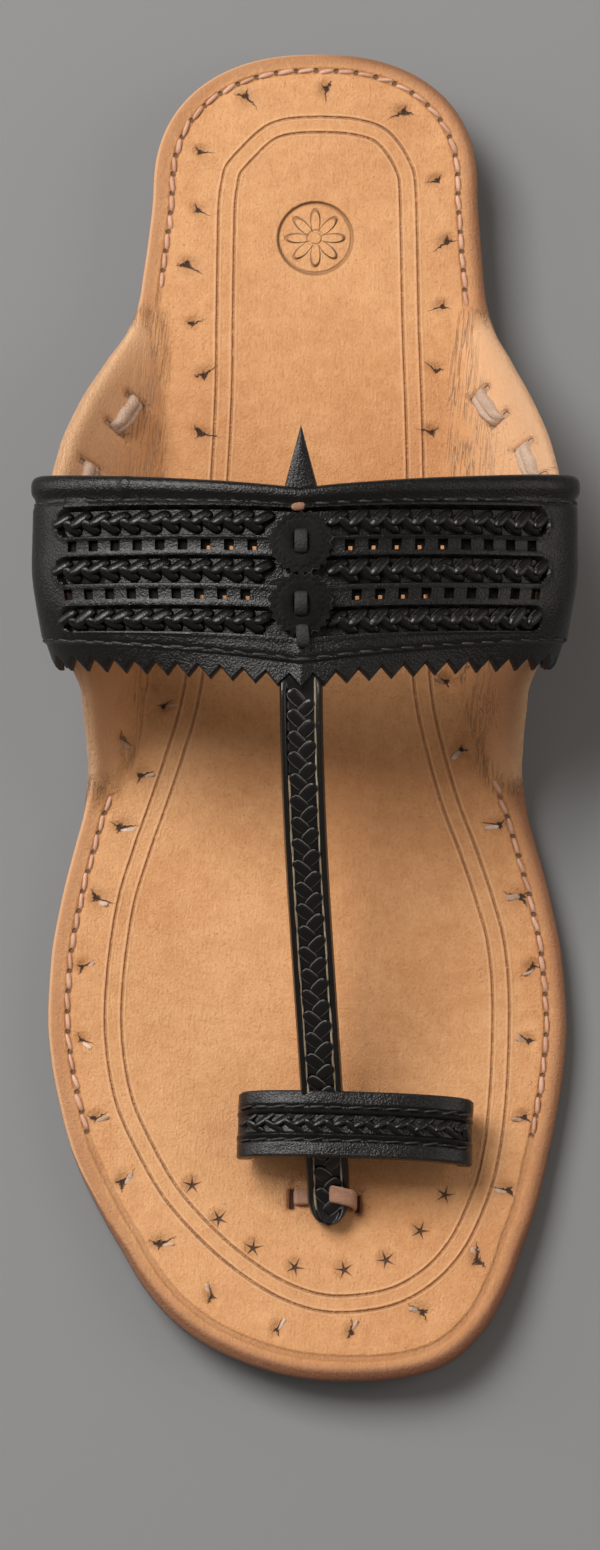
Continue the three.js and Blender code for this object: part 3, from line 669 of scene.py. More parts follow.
@dataclass(frozen=True)
class EarLace:
    """A lace on an ear: its side, station, share of the way up and turn in degrees."""

    name: str
    side: Side
    at: float
    up: float
    slant: float

    def spot(self, along: Array, across: Array, depth: Array) -> Array:
        """Points under the ear's inner face, by place along and across the lace."""
        c, s = math.cos(math.radians(self.slant)), math.sin(math.radians(self.slant))
        at = self.at + (along * c - across * s) / LAST.length
        up = self.up + (along * s + across * c) / LAST.ear_slope(self.at)
        return LAST.flange(at, float(self.side.value), up, depth)


EAR_LACES = (
    EarLace("outer_low", Side.OUTER, 0.292, 0.55, 26.0),
    EarLace("outer_high", Side.OUTER, 0.356, 0.79, 8.0),
    EarLace("inner_low", Side.INNER, 0.287, 0.57, 28.0),
    EarLace("inner_high", Side.INNER, 0.343, 0.85, 12.0),
)
EAR_LACE_LENGTH = 9.5


@dataclass
class Spokes:
    """Rays from a line down the middle of the sole out to its edge, in matching pairs.

    Round the heel they fan out of one point, along the waist they run straight out to each side,
    and round the toe they fan out of a second point.
    """

    heel: Pair = (2.0, 104.0)
    toe: Pair = (3.0, -72.0)
    count: int = 460

    def __post_init__(self) -> None:
        """Spaces the rays evenly by length along the inner side's outline."""
        fan, straight = 700, 1500
        turn = np.linspace(np.pi / 2, 0, fan)
        middle = np.linspace(self.heel, self.toe, straight)[1:-1]
        origin = np.concatenate([np.tile(self.heel, (fan, 1)), middle, np.tile(self.toe, (fan, 1))])
        angle = np.concatenate([turn, np.zeros(len(middle)), -turn[::-1]])
        reach = self._reach((origin, angle), LAST.outline(LAST.insole_half), Side.INNER)
        tips = origin + np.stack([np.cos(angle), np.sin(angle)], -1) * reach[:, None]
        run = run_along(tips)
        places = np.linspace(0, run[-1], self.count + 1)
        x, y, self.angle = (np.interp(places, run, row) for row in (*origin.T, angle))
        self.origin = np.stack([x, y], -1)

    def _reach(self, rays: tuple[Array, Array], curve: Array, side: Side) -> Array:
        """Length of each ray to a closed curve, read off the curve as seen from the fan points.

        Args:
            rays: their starts and their angles.
            curve: the curve's plan points.
            side: the side of the foot that the rays run to.

        Returns:
            The rays' lengths.
        """
        origin, angle = rays
        reach = np.empty(len(angle))
        for centre, zone, near in (
            (self.heel, angle > 0, curve[:, 1] > self.heel[1] - 6),
            (self.toe, angle < 0, curve[:, 1] < self.toe[1] + 6),
        ):
            dx = side.value * (curve[near, 0] - centre[0])
            dy = curve[near, 1] - centre[1]
            seen = np.arctan2(dy, dx)
            reach[zone] = np.interp(angle[zone], *sorted_by(seen, np.hypot(dx, dy)))
        zone = angle == 0
        middle = np.interp(curve[:, 1], [self.toe[1], self.heel[1]], [self.toe[0], self.heel[0]])
        near = side.value * (curve[:, 0] - middle) > 0
        x = np.interp(origin[zone, 1], *sorted_by(curve[near, 1], curve[near, 0]))
        reach[zone] = side.value * (x - origin[zone, 0])
        return reach

    def ring(self, curve: Array) -> tuple[Array, Array]:
        """Lengths of all rays to a closed curve, and how squarely each meets it.

        Args:
            curve: the curve's plan points.

        Returns:
            Ray lengths in order round the sole, and the cosine between ray and curve normal.
        """
        rays = (self.origin, self.angle)
        inner = self._reach(rays, curve, Side.INNER)
        outer = self._reach(rays, curve, Side.OUTER)
        reach = np.concatenate([inner, outer[::-1][1:-1]])
        tips = self.start + self.heading * reach[:, None]
        tangent = unit(np.roll(tips, -2, 0) - np.roll(tips, 2, 0))
        square = np.abs(self.heading[:, 0] * tangent[:, 1] - self.heading[:, 1] * tangent[:, 0])
        return reach, np.clip(square, 0.35, 1)

    @property
    def start(self) -> Array:
        """Where each ray of the ring starts."""
        return np.concatenate([self.origin, self.origin[::-1][1:-1]])

    @property
    def heading(self) -> Array:
        """Each ray's direction in plan."""
        inner = np.stack([np.cos(self.angle), np.sin(self.angle)], -1)
        outer = inner * np.array([-1.0, 1.0])
        return np.concatenate([inner, outer[::-1][1:-1]])


# Finishes


class Wire:
    """A shader socket's value; each sum, product or limit of it adds a Math node."""

    def __init__(self, shade: Shade, socket: bpy.types.NodeSocket) -> None:
        """Keeps the tree's builder and the socket."""
        self.shade = shade
        self.socket = socket

    def __add__(self, other: Wire | float) -> Wire:
        """This plus the other."""
        return self.shade.math("ADD", self, other)

    def __sub__(self, other: Wire | float) -> Wire:
        """This less the other."""
        return self.shade.math("SUBTRACT", self, other)

    def __mul__(self, other: Wire | float) -> Wire:
        """This times the other."""
        return self.shade.math("MULTIPLY", self, other)

    def __truediv__(self, other: Wire | float) -> Wire:
        """This over the other."""
        return self.shade.math("DIVIDE", self, other)

    def __abs__(self) -> Wire:
        """Its size without its sign."""
        return self.shade.math("ABSOLUTE", self)

    def least(self, other: Wire | float) -> Wire:
        """The lesser of the two."""
        return self.shade.math("MINIMUM", self, other)

    def most(self, other: Wire | float) -> Wire:
        """The greater of the two."""
        return self.shade.math("MAXIMUM", self, other)

    def ramp(self, low: float, high: float, a: float = 0, b: float = 1) -> Wire:
        """A smooth step from a to b as this goes from low to high."""
        inputs = {0: self, 1: low, 2: high, 3: a, 4: b}
        return self.shade.out("MapRange", inputs, interpolation_type="SMOOTHSTEP")


class Shade:
    """Builds one node tree from short calls."""

    def __init__(self, tree: bpy.types.NodeTree) -> None:
        """Empties the tree."""
        self.tree = tree
        tree.nodes.clear()

    def node(self, kind: str, inputs: dict | None = None, **fields: object) -> bpy.types.Node:
        """Adds a node.

        Args:
            kind: the node type without its ShaderNode prefix.
            inputs: wires or values by input name or number.
            fields: the node's own settings.

        Returns:
            The node.
        """
        made = self.tree.nodes.new("ShaderNode" + kind)
        for key, value in fields.items():
            setattr(made, key, value)
        for key, value in (inputs or {}).items():
            self.feed(made.inputs[key], value)
        return made

    def out(self, kind: str, inputs: dict, output: str | int = 0, **fields: object) -> Wire:
        """Adds a node and gives one of its outputs."""
        return Wire(self, self.node(kind, inputs, **fields).outputs[output])

    def feed(self, socket: bpy.types.NodeSocket, value: object) -> None:
        """Links a wire to a socket, or sets the socket's value; a colour gets full alpha."""
        if isinstance(value, Wire):
            self.tree.links.new(value.socket, socket)
        else:
            socket.default_value = (*value, 1.0) if socket.type == "RGBA" else value

    def math(self, operation: str, *values: Wire | float) -> Wire:
        """One Math node's result."""
        return self.out("Math", dict(enumerate(values)), operation=operation)

    def length(self, a: Wire, b: Wire) -> Wire:
        """Length of a plan vector."""
        return self.math("SQRT", a * a + b * b)

    def mix(self, factor: Wire, a: object, b: object, blend: str = "MIX") -> Wire:
        """Two colours mixed by a factor."""
        inputs = {0: factor, 6: a, 7: b}
        return self.out("Mix", inputs, 2, data_type="RGBA", blend_type=blend)

    def layered(self, base: object, *layers: tuple) -> Wire:
        """Colours laid over a base in turn, each as (factor, colour) and maybe how it is mixed."""
        for factor, colour, *blend in layers:
            base = self.mix(factor, base, colour, *blend)
        return base

    def noise(self, where: Wire, scale: Wire | float, detail: float, rough: float) -> Wire:
        """A noise texture's value."""
        inputs = {"Vector": where, "Scale": scale, "Detail": detail, "Roughness": rough}
        return self.out("TexNoise", inputs)

    def mapped(self, where: Wire, scale: Sequence[float], turn: float = 0.0) -> Wire:
        """Coordinates scaled, then turned about z."""
        inputs = {"Vector": where, "Scale": scale, "Rotation": (0.0, 0.0, turn)}
        return self.out("Mapping", inputs)

    def value(self, name: str) -> Wire:
        """A number that rides on the mesh."""
        return self.out("Attribute", {}, "Fac", attribute_name=name)

    def parts(self, vector: str | Wire) -> list[Wire]:
        """The x, y and z of a vector, or of one that rides on the mesh under that name."""
        if isinstance(vector, str):
            vector = self.out("Attribute", {}, "Vector", attribute_name=vector)
        split = self.node("SeparateXYZ", {0: vector})
        return [Wire(self, output) for output in split.outputs]

    def place(self) -> Wire:
        """Object coordinates in millimetres."""
        where = self.out("TexCoord", {}, "Object")
        return self.out("VectorMath", {0: where, "Scale": 1 / MM}, operation="SCALE")

    def use(self, group: bpy.types.NodeTree, **inputs: object) -> Wire:
        """Places a node group, feeds its inputs and gives its output.

        Args:
            group: the node group.
            inputs: wires or values by the group's input names.

        Returns:
            The group's output.
        """
        node = self.tree.nodes.new("ShaderNodeGroup")
        node.node_tree = group
        for key, value in inputs.items():
            self.feed(node.inputs[key], value)
        return Wire(self, node.outputs[0])


def build_group(
    name: str, inputs: dict[str, float | None], output: str
) -> tuple[bpy.types.NodeTree, Shade, list[Wire], bpy.types.NodeSocket]:
    """Starts a node group whose output is one number.

    Args:
        name: the group's name.
        inputs: each input's starting number by name, or none for a vector.
        output: the output's name.

    Returns:
        The group, its builder, its inputs in order and the socket that takes its output.
    """
    group = bpy.data.node_groups.new(name, "ShaderNodeTree")
    for key, start in inputs.items():
        kind = "NodeSocketVector" if start is None else "NodeSocketFloat"
        made = group.interface.new_socket(name=key, in_out="INPUT", socket_type=kind)
        if start is not None:
            made.default_value = start
    group.interface.new_socket(name=output, in_out="OUTPUT", socket_type="NodeSocketFloat")
    shade = Shade(group)
    entry = group.nodes.new("NodeGroupInput")
    result = group.nodes.new("NodeGroupOutput").inputs[0]
    return group, shade, [Wire(shade, entry.outputs[key]) for key in inputs], result


class Effects:
    """The shader node groups that several finishes use, each built once."""

    def __init__(self) -> None:
        """Builds every group."""
        self.grain = self._grain()
        self.mottle = self._mottle()
        self.scuff = self._scuff()

    def _grain(self) -> bpy.types.NodeTree:
        """Leather grain: pebbles from cells, broken up by noise, and pores."""
        inputs = {"Place": None, "Size": 1.0, "Pebble": 0.5}
        group, s, (place, size, pebble), result = build_group("leather_grain", inputs, "Height")
        scale = s.math("DIVIDE", 1.0, size)
        wander = s.out("TexNoise", {"Vector": place, "Scale": 0.6, "Detail": 2}, 1)
        bent = s.out("VectorMath", {0: wander, "Scale": 0.7}, operation="SCALE")
        where = s.out("VectorMath", {0: place, 1: bent}, operation="ADD")
        cells = s.out("TexVoronoi", {"Vector": where, "Scale": scale}, "Distance", feature="F1")
        fine = s.noise(where, scale * 2.3, 4, 0.6)
        blend = {0: pebble, 2: fine, 3: cells.ramp(0.15, 0.75, 1, 0)}
        s.feed(result, s.out("Mix", blend, data_type="FLOAT"))
        return group

    def _mottle(self) -> bpy.types.NodeTree:
        """Uneven tone: broad clouds and small flecks round a middle of 0.5."""
        inputs = {"Place": None, "Broad": 0.03, "Fleck": 0.6}
        group, s, (place, broad, fleck), result = build_group("uneven_tone", inputs, "Tone")
        s.feed(result, s.noise(place, broad, 4, 0.55) * 0.62 + s.noise(place, fleck, 5, 0.7) * 0.38)
        return group

    def _scuff(self) -> bpy.types.NodeTree:
        """Fine scratches and rubs: stretched noise cut to its peaks."""
        inputs = {"Place": None, "Turn": 0.4}
        group, s, (place, turn), result = build_group("fine_scuffs", inputs, "Mask")
        turned = s.out("VectorRotate", {"Vector": place, "Angle": turn}, rotation_type="Z_AXIS")
        lines = s.noise(s.mapped(turned, (2.6, 0.22, 1.0)), 1.0, 3, 0.6)
        s.feed(result, lines.ramp(0.62, 0.74))
        return group


def new_material(name: str) -> tuple[bpy.types.Material, Shade]:
    """An empty node material and its builder."""
    material = bpy.data.materials.new(name)
    material.use_nodes = True
    return material, Shade(material.node_tree)


def close_material(s: Shade, inputs: dict, height: Wire, reach: float = 1.0) -> None:
    """Adds the surface shader, with a bump whose heights are in millimetres.

    Args:
        s: the material's builder.
        inputs: the shader's own inputs.
        height: the bump's height.
        reach: how much of that height shows, as a share.
    """
    bump = s.out("Bump", {"Height": height, "Strength": 1.0, "Distance": MM * reach})
    shader = s.out("BsdfPrincipled", {**inputs, "Normal": bump})
    s.node("OutputMaterial", {"Surface": shader})


@dataclass(frozen=True)
class FootbedLeather:
    """Bark-tanned natural leather, with its tooling, cuts, creases and dark edges."""

    light: Colour = (0.79, 0.405, 0.168)
    deep: Colour = (0.63, 0.275, 0.094)
    pale: Colour = (0.92, 0.56, 0.31)
    line: Colour = (0.27, 0.105, 0.040)
    tooled: Colour = (0.46, 0.18, 0.062)
    edge: Colour = (0.44, 0.19, 0.075)
    # Dark brown of the burnished edges, also used for the painted shade along the inner edge
    burnt_and_shade: Colour = (0.20, 0.072, 0.028)
    hole: Colour = (0.030, 0.010, 0.005)
    bud: float = 1.5
    petal: float = 4.6
    ring: float = 7.7

    def build(self, effects: Effects) -> bpy.types.Material:
        """Makes the material.

        Args:
            effects: the shared node groups.

        Returns:
            A material that reads "trim" (edge, border, ear), "mark" (x, y, kind), "beat" (the
            stitch rhythm as cosine and sine) and "under" (depth down the side) off the mesh.
        """
        material, s = new_material("footbed_leather")
        where = s.place()
        side, fore, _ = s.parts(where)
        edge, border, ear = s.parts("trim")
        under = s.value("under")
        tone = s.use(effects.mottle, Place=where, Broad=0.022, Fleck=0.35)
        grain = s.use(effects.grain, Place=where, Size=0.6, Pebble=0.45)
        scuff = s.use(effects.scuff, Place=where, Turn=0.7)
        speck = s.noise(where, 1.6, 6, 0.78)
        hair = s.noise(s.mapped(where, (1.9, 0.35, 1.0), 0.5), 1.0, 5, 0.7)
        bead = s.noise(where, 0.5, 3, 0.6)
        # Two tooled lines
        nearest = abs(border).least(abs(border + BORDER_GAP))
        broken = s.noise(where, 1.7, 2, 0.5).ramp(0.34, 0.60, 0.4, 0.95)
        line = nearest.ramp(0.02, 0.36, 1, 0) * broken
        # The ridge beside each tooled line gets a painted highlight
        lip = abs(nearest - 0.6)
        # Stitch groove beside the edge, away from the ears, with the awl's holes; the groove is
        # darkened as painted shade and the holes are painted near black as painted shade inside them
        flat = ear.ramp(0.0, 0.1, 1, 0) * under.ramp(0.0, 0.2, 1, 0)
        aside = edge - STITCH_INSET
        groove = abs(aside).ramp(0.3, 0.95, 1, 0) * flat
        cosine, sine, sewn = s.parts("beat")
        past = s.math("ARCTAN2", sine, cosine) * (STITCH_PITCH / (2 * math.pi))
        awl = s.length(past, aside).ramp(0.36, 0.66, 1, 0) * flat * sewn
        # Cuts, punches and creases; the slits and slots are painted near black as painted shade
        # inside the cuts, the stars are painted dark, and the soft dent round each slit, star and
        # slot is darkened as painted shade
        cut, dent, relief = self._cuts(s, where)
        dark = cut.most(awl * 0.72)
        fold, crest = self._wrinkles(s, where, ear)
        # Edge: burnished dark at the toe, with a painted highlight along the outer side's edge and
        # painted shade along the inner side's edge
        reach = fore.ramp(-132.0, -88.0, 2.6, 0.35)
        burn = (edge + bead * 0.4) / reach
        rim = (edge + bead * 1.6).ramp(2.6, 5.2, 0.68, 0)
        # Painted highlight along the outer side's edge, the side towards the key light
        painted_rim_highlight = edge.ramp(0.35, 0.95, 1, 0) * side.ramp(-12.0, 12.0, 0.55, 0)
        # Painted shade along the inner side's edge, away from the key light
        painted_edge = edge.ramp(0.7, 2.6, 0.62, 0) * side.ramp(0.0, 14.0)
        wall = s.mix(bead.ramp(0.35, 0.65), self.edge, self.burnt_and_shade)
        wall = s.mix(reach.ramp(0.5, 1.6), wall, self.burnt_and_shade)
        # Painted shade in blotches on the outer ear, whose inner face looks away from the key light
        outer_ear_shade = ear.ramp(0.05, 0.9) * bead.ramp(0.3, 0.7) * side.ramp(-10.0, 10.0, 0.1, 0)
        colour = s.layered(
            self.light,
            (tone.ramp(0.34, 0.68), self.deep),
            (s.noise(where, 0.11, 4, 0.6).ramp(0.46, 0.66, 0, 0.24), self.deep),
            (speck.ramp(0.5, 0.7, 0, 0.4), self.deep, "MULTIPLY"),
            (speck.ramp(0.30, 0.46, 0.2, 0), self.pale),
            (hair.ramp(0.52, 0.72, 0, 0.22), self.deep, "MULTIPLY"),
            (s.noise(where, 1.1, 2, 0.5).ramp(0.70, 0.76, 0, 0.5), self.line),
            # painted highlight on the ridges beside the tooled lines
            (lip.ramp(0.0, 0.34, 0.4, 0), self.pale),
            (line * bead.ramp(0.3, 0.7, 0.3, 0.65), self.tooled),
            # painted shade in the stitch groove
            (groove * 0.38, self.line),
            # painted shade in the soft dents round the marks; the stamp's lines are darkened too
            (dent * 0.42, self.line),
            (rim, self.edge),
            # painted highlight on the outer side's edge
            (painted_rim_highlight, self.pale),
            # painted shade on the inner side's edge
            (painted_edge, self.burnt_and_shade),
            (burn.ramp(0.45, 1.0, 0.9, 0), self.burnt_and_shade),
            (under.ramp(0.3, 0.95), wall),
            # painted shade inside the slits, slots and awl holes; the stars are painted dark too
            (dark * 0.95, self.hole),
            # painted highlight on the crease crests and painted shade in the creases
            (crest * 0.7, self.pale),
            (fold * 0.28, self.edge),
            # painted shade on the outer ear
            (outer_ear_shade, self.edge),
            # painted sheen over both ears, a little stronger on the inner one
            (ear.ramp(0.1, 0.7, 0, 0.6) * side.ramp(-50.0, 30.0, 0.95, 1), self.pale),
        )
        height = grain * 0.12 + (speck + hair) * 0.19 + s.noise(where, 0.2, 3, 0.5) * 0.22
        height += crest * 0.24 - fold * 0.26 - line * 0.45 + nearest.ramp(0.4, 1.0, 0.2, 0)
        height += relief - groove * 0.22 - dark * 0.5 - dent * 0.34 - scuff * 0.03
        height += s.noise(where, 1.1, 5, 0.75) * under * 0.5
        rough = tone.ramp(0.3, 0.7, 0.40, 0.50) + under * 0.15 + dark * 0.4
        inputs = {"Base Color": colour, "Roughness": rough, "Specular IOR Level": 0.5}
        close_material(s, inputs | {"Sheen Weight": 0.13, "Sheen Roughness": 0.45}, height)
        return material

    def _cuts(self, s: Shade, where: Wire) -> tuple[Wire, Wire, Wire]:
        """The marks, drawn about the nearest one's own middle.

        A slit is a ragged hole with four tapering strokes, the longest one inwards, a
        star's five arms follow r (1 + k |sin(5a / 2)|), and the stamp's petals follow |cos 4a|.

        Args:
            s: the material's builder.
            where: object coordinates.

        Returns:
            Dark cuts, a soft dent round each, and the stamp's relief in millimetres.
        """
        across, along, kind = s.parts("mark")
        wobble = (s.noise(where, 1.3, 3, 0.6) - 0.5) * 1.3
        x, y = across + wobble, along - wobble - 0.5
        r, angle = s.length(across, along), s.math("ARCTAN2", across, along)
        is_slit, is_star, is_stamp, is_slot = (
            s.math("COMPARE", kind, float(mark.value), 0.3) for mark in Mark
        )
        waves = abs(s.math("SINE", angle * 2.5))
        star = (r * (waves * 3.0 + 1.0)).ramp(0.9, 2.5, 0.95, 0) * is_star
        slit = s.length(x, y).ramp(0.35, 0.7, 1, 0)
        strokes = ((3.05, 3.3, 0.27), (0.62, 1.9, 0.38), (-1.1, 1.15, 0.3), (2.3, 0.8, 0.22))
        for turn, reach, wide in strokes:
            sine, cosine = math.sin(turn), math.cos(turn)
            run, off = x * sine + y * cosine, x * cosine - y * sine
            half = s.math("SUBTRACT", reach, run) * (wide / reach)
            slit = slit.most((abs(off) - half).ramp(-0.12, 0.06, 1, 0) * run.ramp(-0.1, 0.1))
        past = (abs(across) - 0.35).most(0.0) + (abs(along) - 1.9).most(0.0)
        cut = star.most(slit * is_slit).most(past.ramp(0.0, 0.3, 1, 0) * is_slot)
        petal = r - (abs(s.math("COSINE", angle * 4.0)) * self.petal + self.bud)
        lines = abs(petal).least(abs(r - self.ring))
        raised = petal.ramp(-0.3, 0.3, 1, 0).most(r.ramp(7.5, 8.1))
        relief = ((raised - 1.0) * 0.8 - abs(r - self.bud).ramp(0.1, 0.5, 0.3, 0)) * is_stamp
        soft = r.ramp(0.6, 3.0, 0.6, 0) * (is_star + is_slit)
        soft = soft.most(past.ramp(0.2, 1.0, 0.9, 0) * is_slot)
        return cut, soft.most(lines.ramp(0.1, 0.62, 1.0, 0) * is_stamp), relief

    def _wrinkles(self, s: Shade, where: Wire, ear: Wire) -> tuple[Wire, Wire]:
        """Fine broken creases that run lengthwise where each ear folds up, and their crests.

        Args:
            s: the material's builder.
            where: object coordinates.
            ear: share of the way up an ear.

        Returns:
            The creases and the crests, each from 0 to 1.
        """
        turned = s.mapped(where, (1.0, 1.0, 1.0), 0.1)
        lines = s.noise(s.mapped(turned, (1.35, 0.05, 0.3)), 1.0, 3, 0.55)
        zone = ear.ramp(0.0, 0.16) * ear.ramp(0.25, 0.8, 1, 0.1)
        zone = zone * s.noise(where, 0.09, 2, 0.5).ramp(0.34, 0.54)
        fold = abs(lines - 0.5).ramp(0.0, 0.022, 1, 0)
        return fold * zone, abs(lines - 0.535).ramp(0.0, 0.03, 1, 0) * zone


@dataclass(frozen=True)
class PlainLeather:
    """One leather or thread finish built from grain and uneven tone."""

    name: str
    light: Colour
    deep: Colour
    rough: Pair = (0.5, 0.65)
    grain_size: float = 0.8
    grain_height: float = 0.15
    pebble: float = 0.5
    coat: float = 0.0
    coat_rough: float = 0.3
    sheen: float = 0.0
    specular: float = 0.4
    streak: float = 0.0
    raw: Colour | None = None

    def build(self, effects: Effects) -> bpy.types.Material:
        """Makes the material.

        Args:
            effects: the shared node groups.

        Returns:
            A material that reads "part" (a tone per small piece) and "raw" (pale cut edges with a
            painted highlight on them), if there.
        """
        material, s = new_material(self.name)
        where = s.place()
        tone = s.use(effects.mottle, Place=where, Broad=0.12, Fleck=1.4) + s.value("part") * 0.16
        colour = s.mix(tone.ramp(0.34, 0.74), self.light, self.deep)
        grain = s.use(effects.grain, Place=where, Size=self.grain_size, Pebble=self.pebble)
        height = grain * self.grain_height - s.use(effects.scuff, Place=where, Turn=1.9) * 0.03
        # Pale cut edges and frayed tips; on plaits and straps the pale edges are also a painted
        # highlight
        if self.raw is not None:
            fray = s.noise(where, 1.8, 4, 0.7)
            mask = (s.value("raw") + fray * 0.5).ramp(0.6, 1.1)
            colour = s.mix(mask, colour, self.raw)
            height += fray * mask * 0.3
        if self.streak > 0:
            lines = s.noise(s.mapped(where, (0.12, 0.12, 2.4)), 1.0, 4, 0.6)
            colour = s.mix(lines.ramp(0.35, 0.7, 0, self.streak), colour, self.deep)
            height += lines * 0.3
        inputs = {"Base Color": colour, "Roughness": tone.ramp(0.3, 0.8, *self.rough)}
        inputs |= {"Coat Weight": self.coat, "Coat Roughness": self.coat_rough}
        inputs |= {"Sheen Weight": self.sheen, "Sheen Roughness": 0.5}
        close_material(s, inputs | {"Specular IOR Level": self.specular}, height)
        return material


@dataclass
class Finishes:
    """Every material of the shoe."""

    effects: Effects = field(default_factory=Effects)

    def _plain(self, *fields: object, **more: object) -> bpy.types.Material:
        """One plain finish, from its fields."""
        return PlainLeather(*fields, **more).build(self.effects)

    def __post_init__(self) -> None:
        """Builds the materials."""
        self.footbed = FootbedLeather().build(self.effects)
        self.sole = self._plain(
            "sole_edge_leather", (0.23, 0.095, 0.042), (0.085, 0.032, 0.014), (0.5, 0.7), 1.1, 0.2,
            0.3, streak=0.6,
        )
        self.band = self._plain(
            "band_leather", (0.0052, 0.0047, 0.0043), (0.0020, 0.0018, 0.0017), (0.27, 0.37), 0.5,
            0.10, 0.45, specular=0.36, coat=0.08, coat_rough=0.22, raw=(0.012, 0.011, 0.010),
        )
        self.suede = self._plain(
            "rosette_leather", (0.019, 0.0175, 0.0175), (0.0055, 0.0050, 0.0050), (0.7, 0.85), 0.3,
            0.5, 0.2, sheen=0.05, specular=0.15, raw=(0.15, 0.135, 0.125),
        )
        self.plait = self._plain(
            "plait_leather", (0.0058, 0.0048, 0.0044), (0.0022, 0.0020, 0.0018), (0.24, 0.33), 0.55,
            0.07, 0.3, coat=0.1, coat_rough=0.2, specular=0.42, raw=(0.075, 0.064, 0.057),
        )
        self.knot = self._plain(
            "knot_leather", (0.034, 0.035, 0.031), (0.014, 0.014, 0.013), (0.4, 0.55), 0.4, 0.2, 0.3
        )
        self.gloss = self._plain(
            "strap_leather", (0.0060, 0.0052, 0.0048), (0.0030, 0.0028, 0.0026), (0.26, 0.36), 0.9,
            0.05, 0.3, coat=0.15, coat_rough=0.16, specular=0.42, raw=(0.19, 0.17, 0.15),
        )
        self.lace = self._plain(
            "lace_leather", (0.47, 0.255, 0.165), (0.30, 0.145, 0.085), (0.6, 0.75), 0.5, 0.16, 0.3
        )
        self.pale_lace = self._plain(
            "pale_lace_leather", (0.86, 0.68, 0.54), (0.52, 0.34, 0.24), (0.6, 0.75), 0.5, 0.3, 0.3
        )
        self.ear_lace = self._plain(
            "ear_lace_leather", (0.64, 0.46, 0.345), (0.42, 0.27, 0.185), (0.6, 0.75), 0.5, 0.3, 0.3
        )
        self.thread = self._plain(
            "pale_thread", (0.82, 0.51, 0.365), (0.60, 0.33, 0.215), (0.55, 0.7), 0.25, 0.1, 0.2
        )
        self.dark_thread = self._plain(
            "dark_thread", (0.034, 0.030, 0.028), (0.012, 0.011, 0.010), (0.3, 0.45), 0.25, 0.1,
            0.2, specular=0.5,
        )
        self.cream_thread = self._plain(
            "cream_thread", (0.52, 0.42, 0.30), (0.26, 0.19, 0.12), (0.5, 0.65), 0.25, 0.1, 0.2
        )


# The sub-assemblies


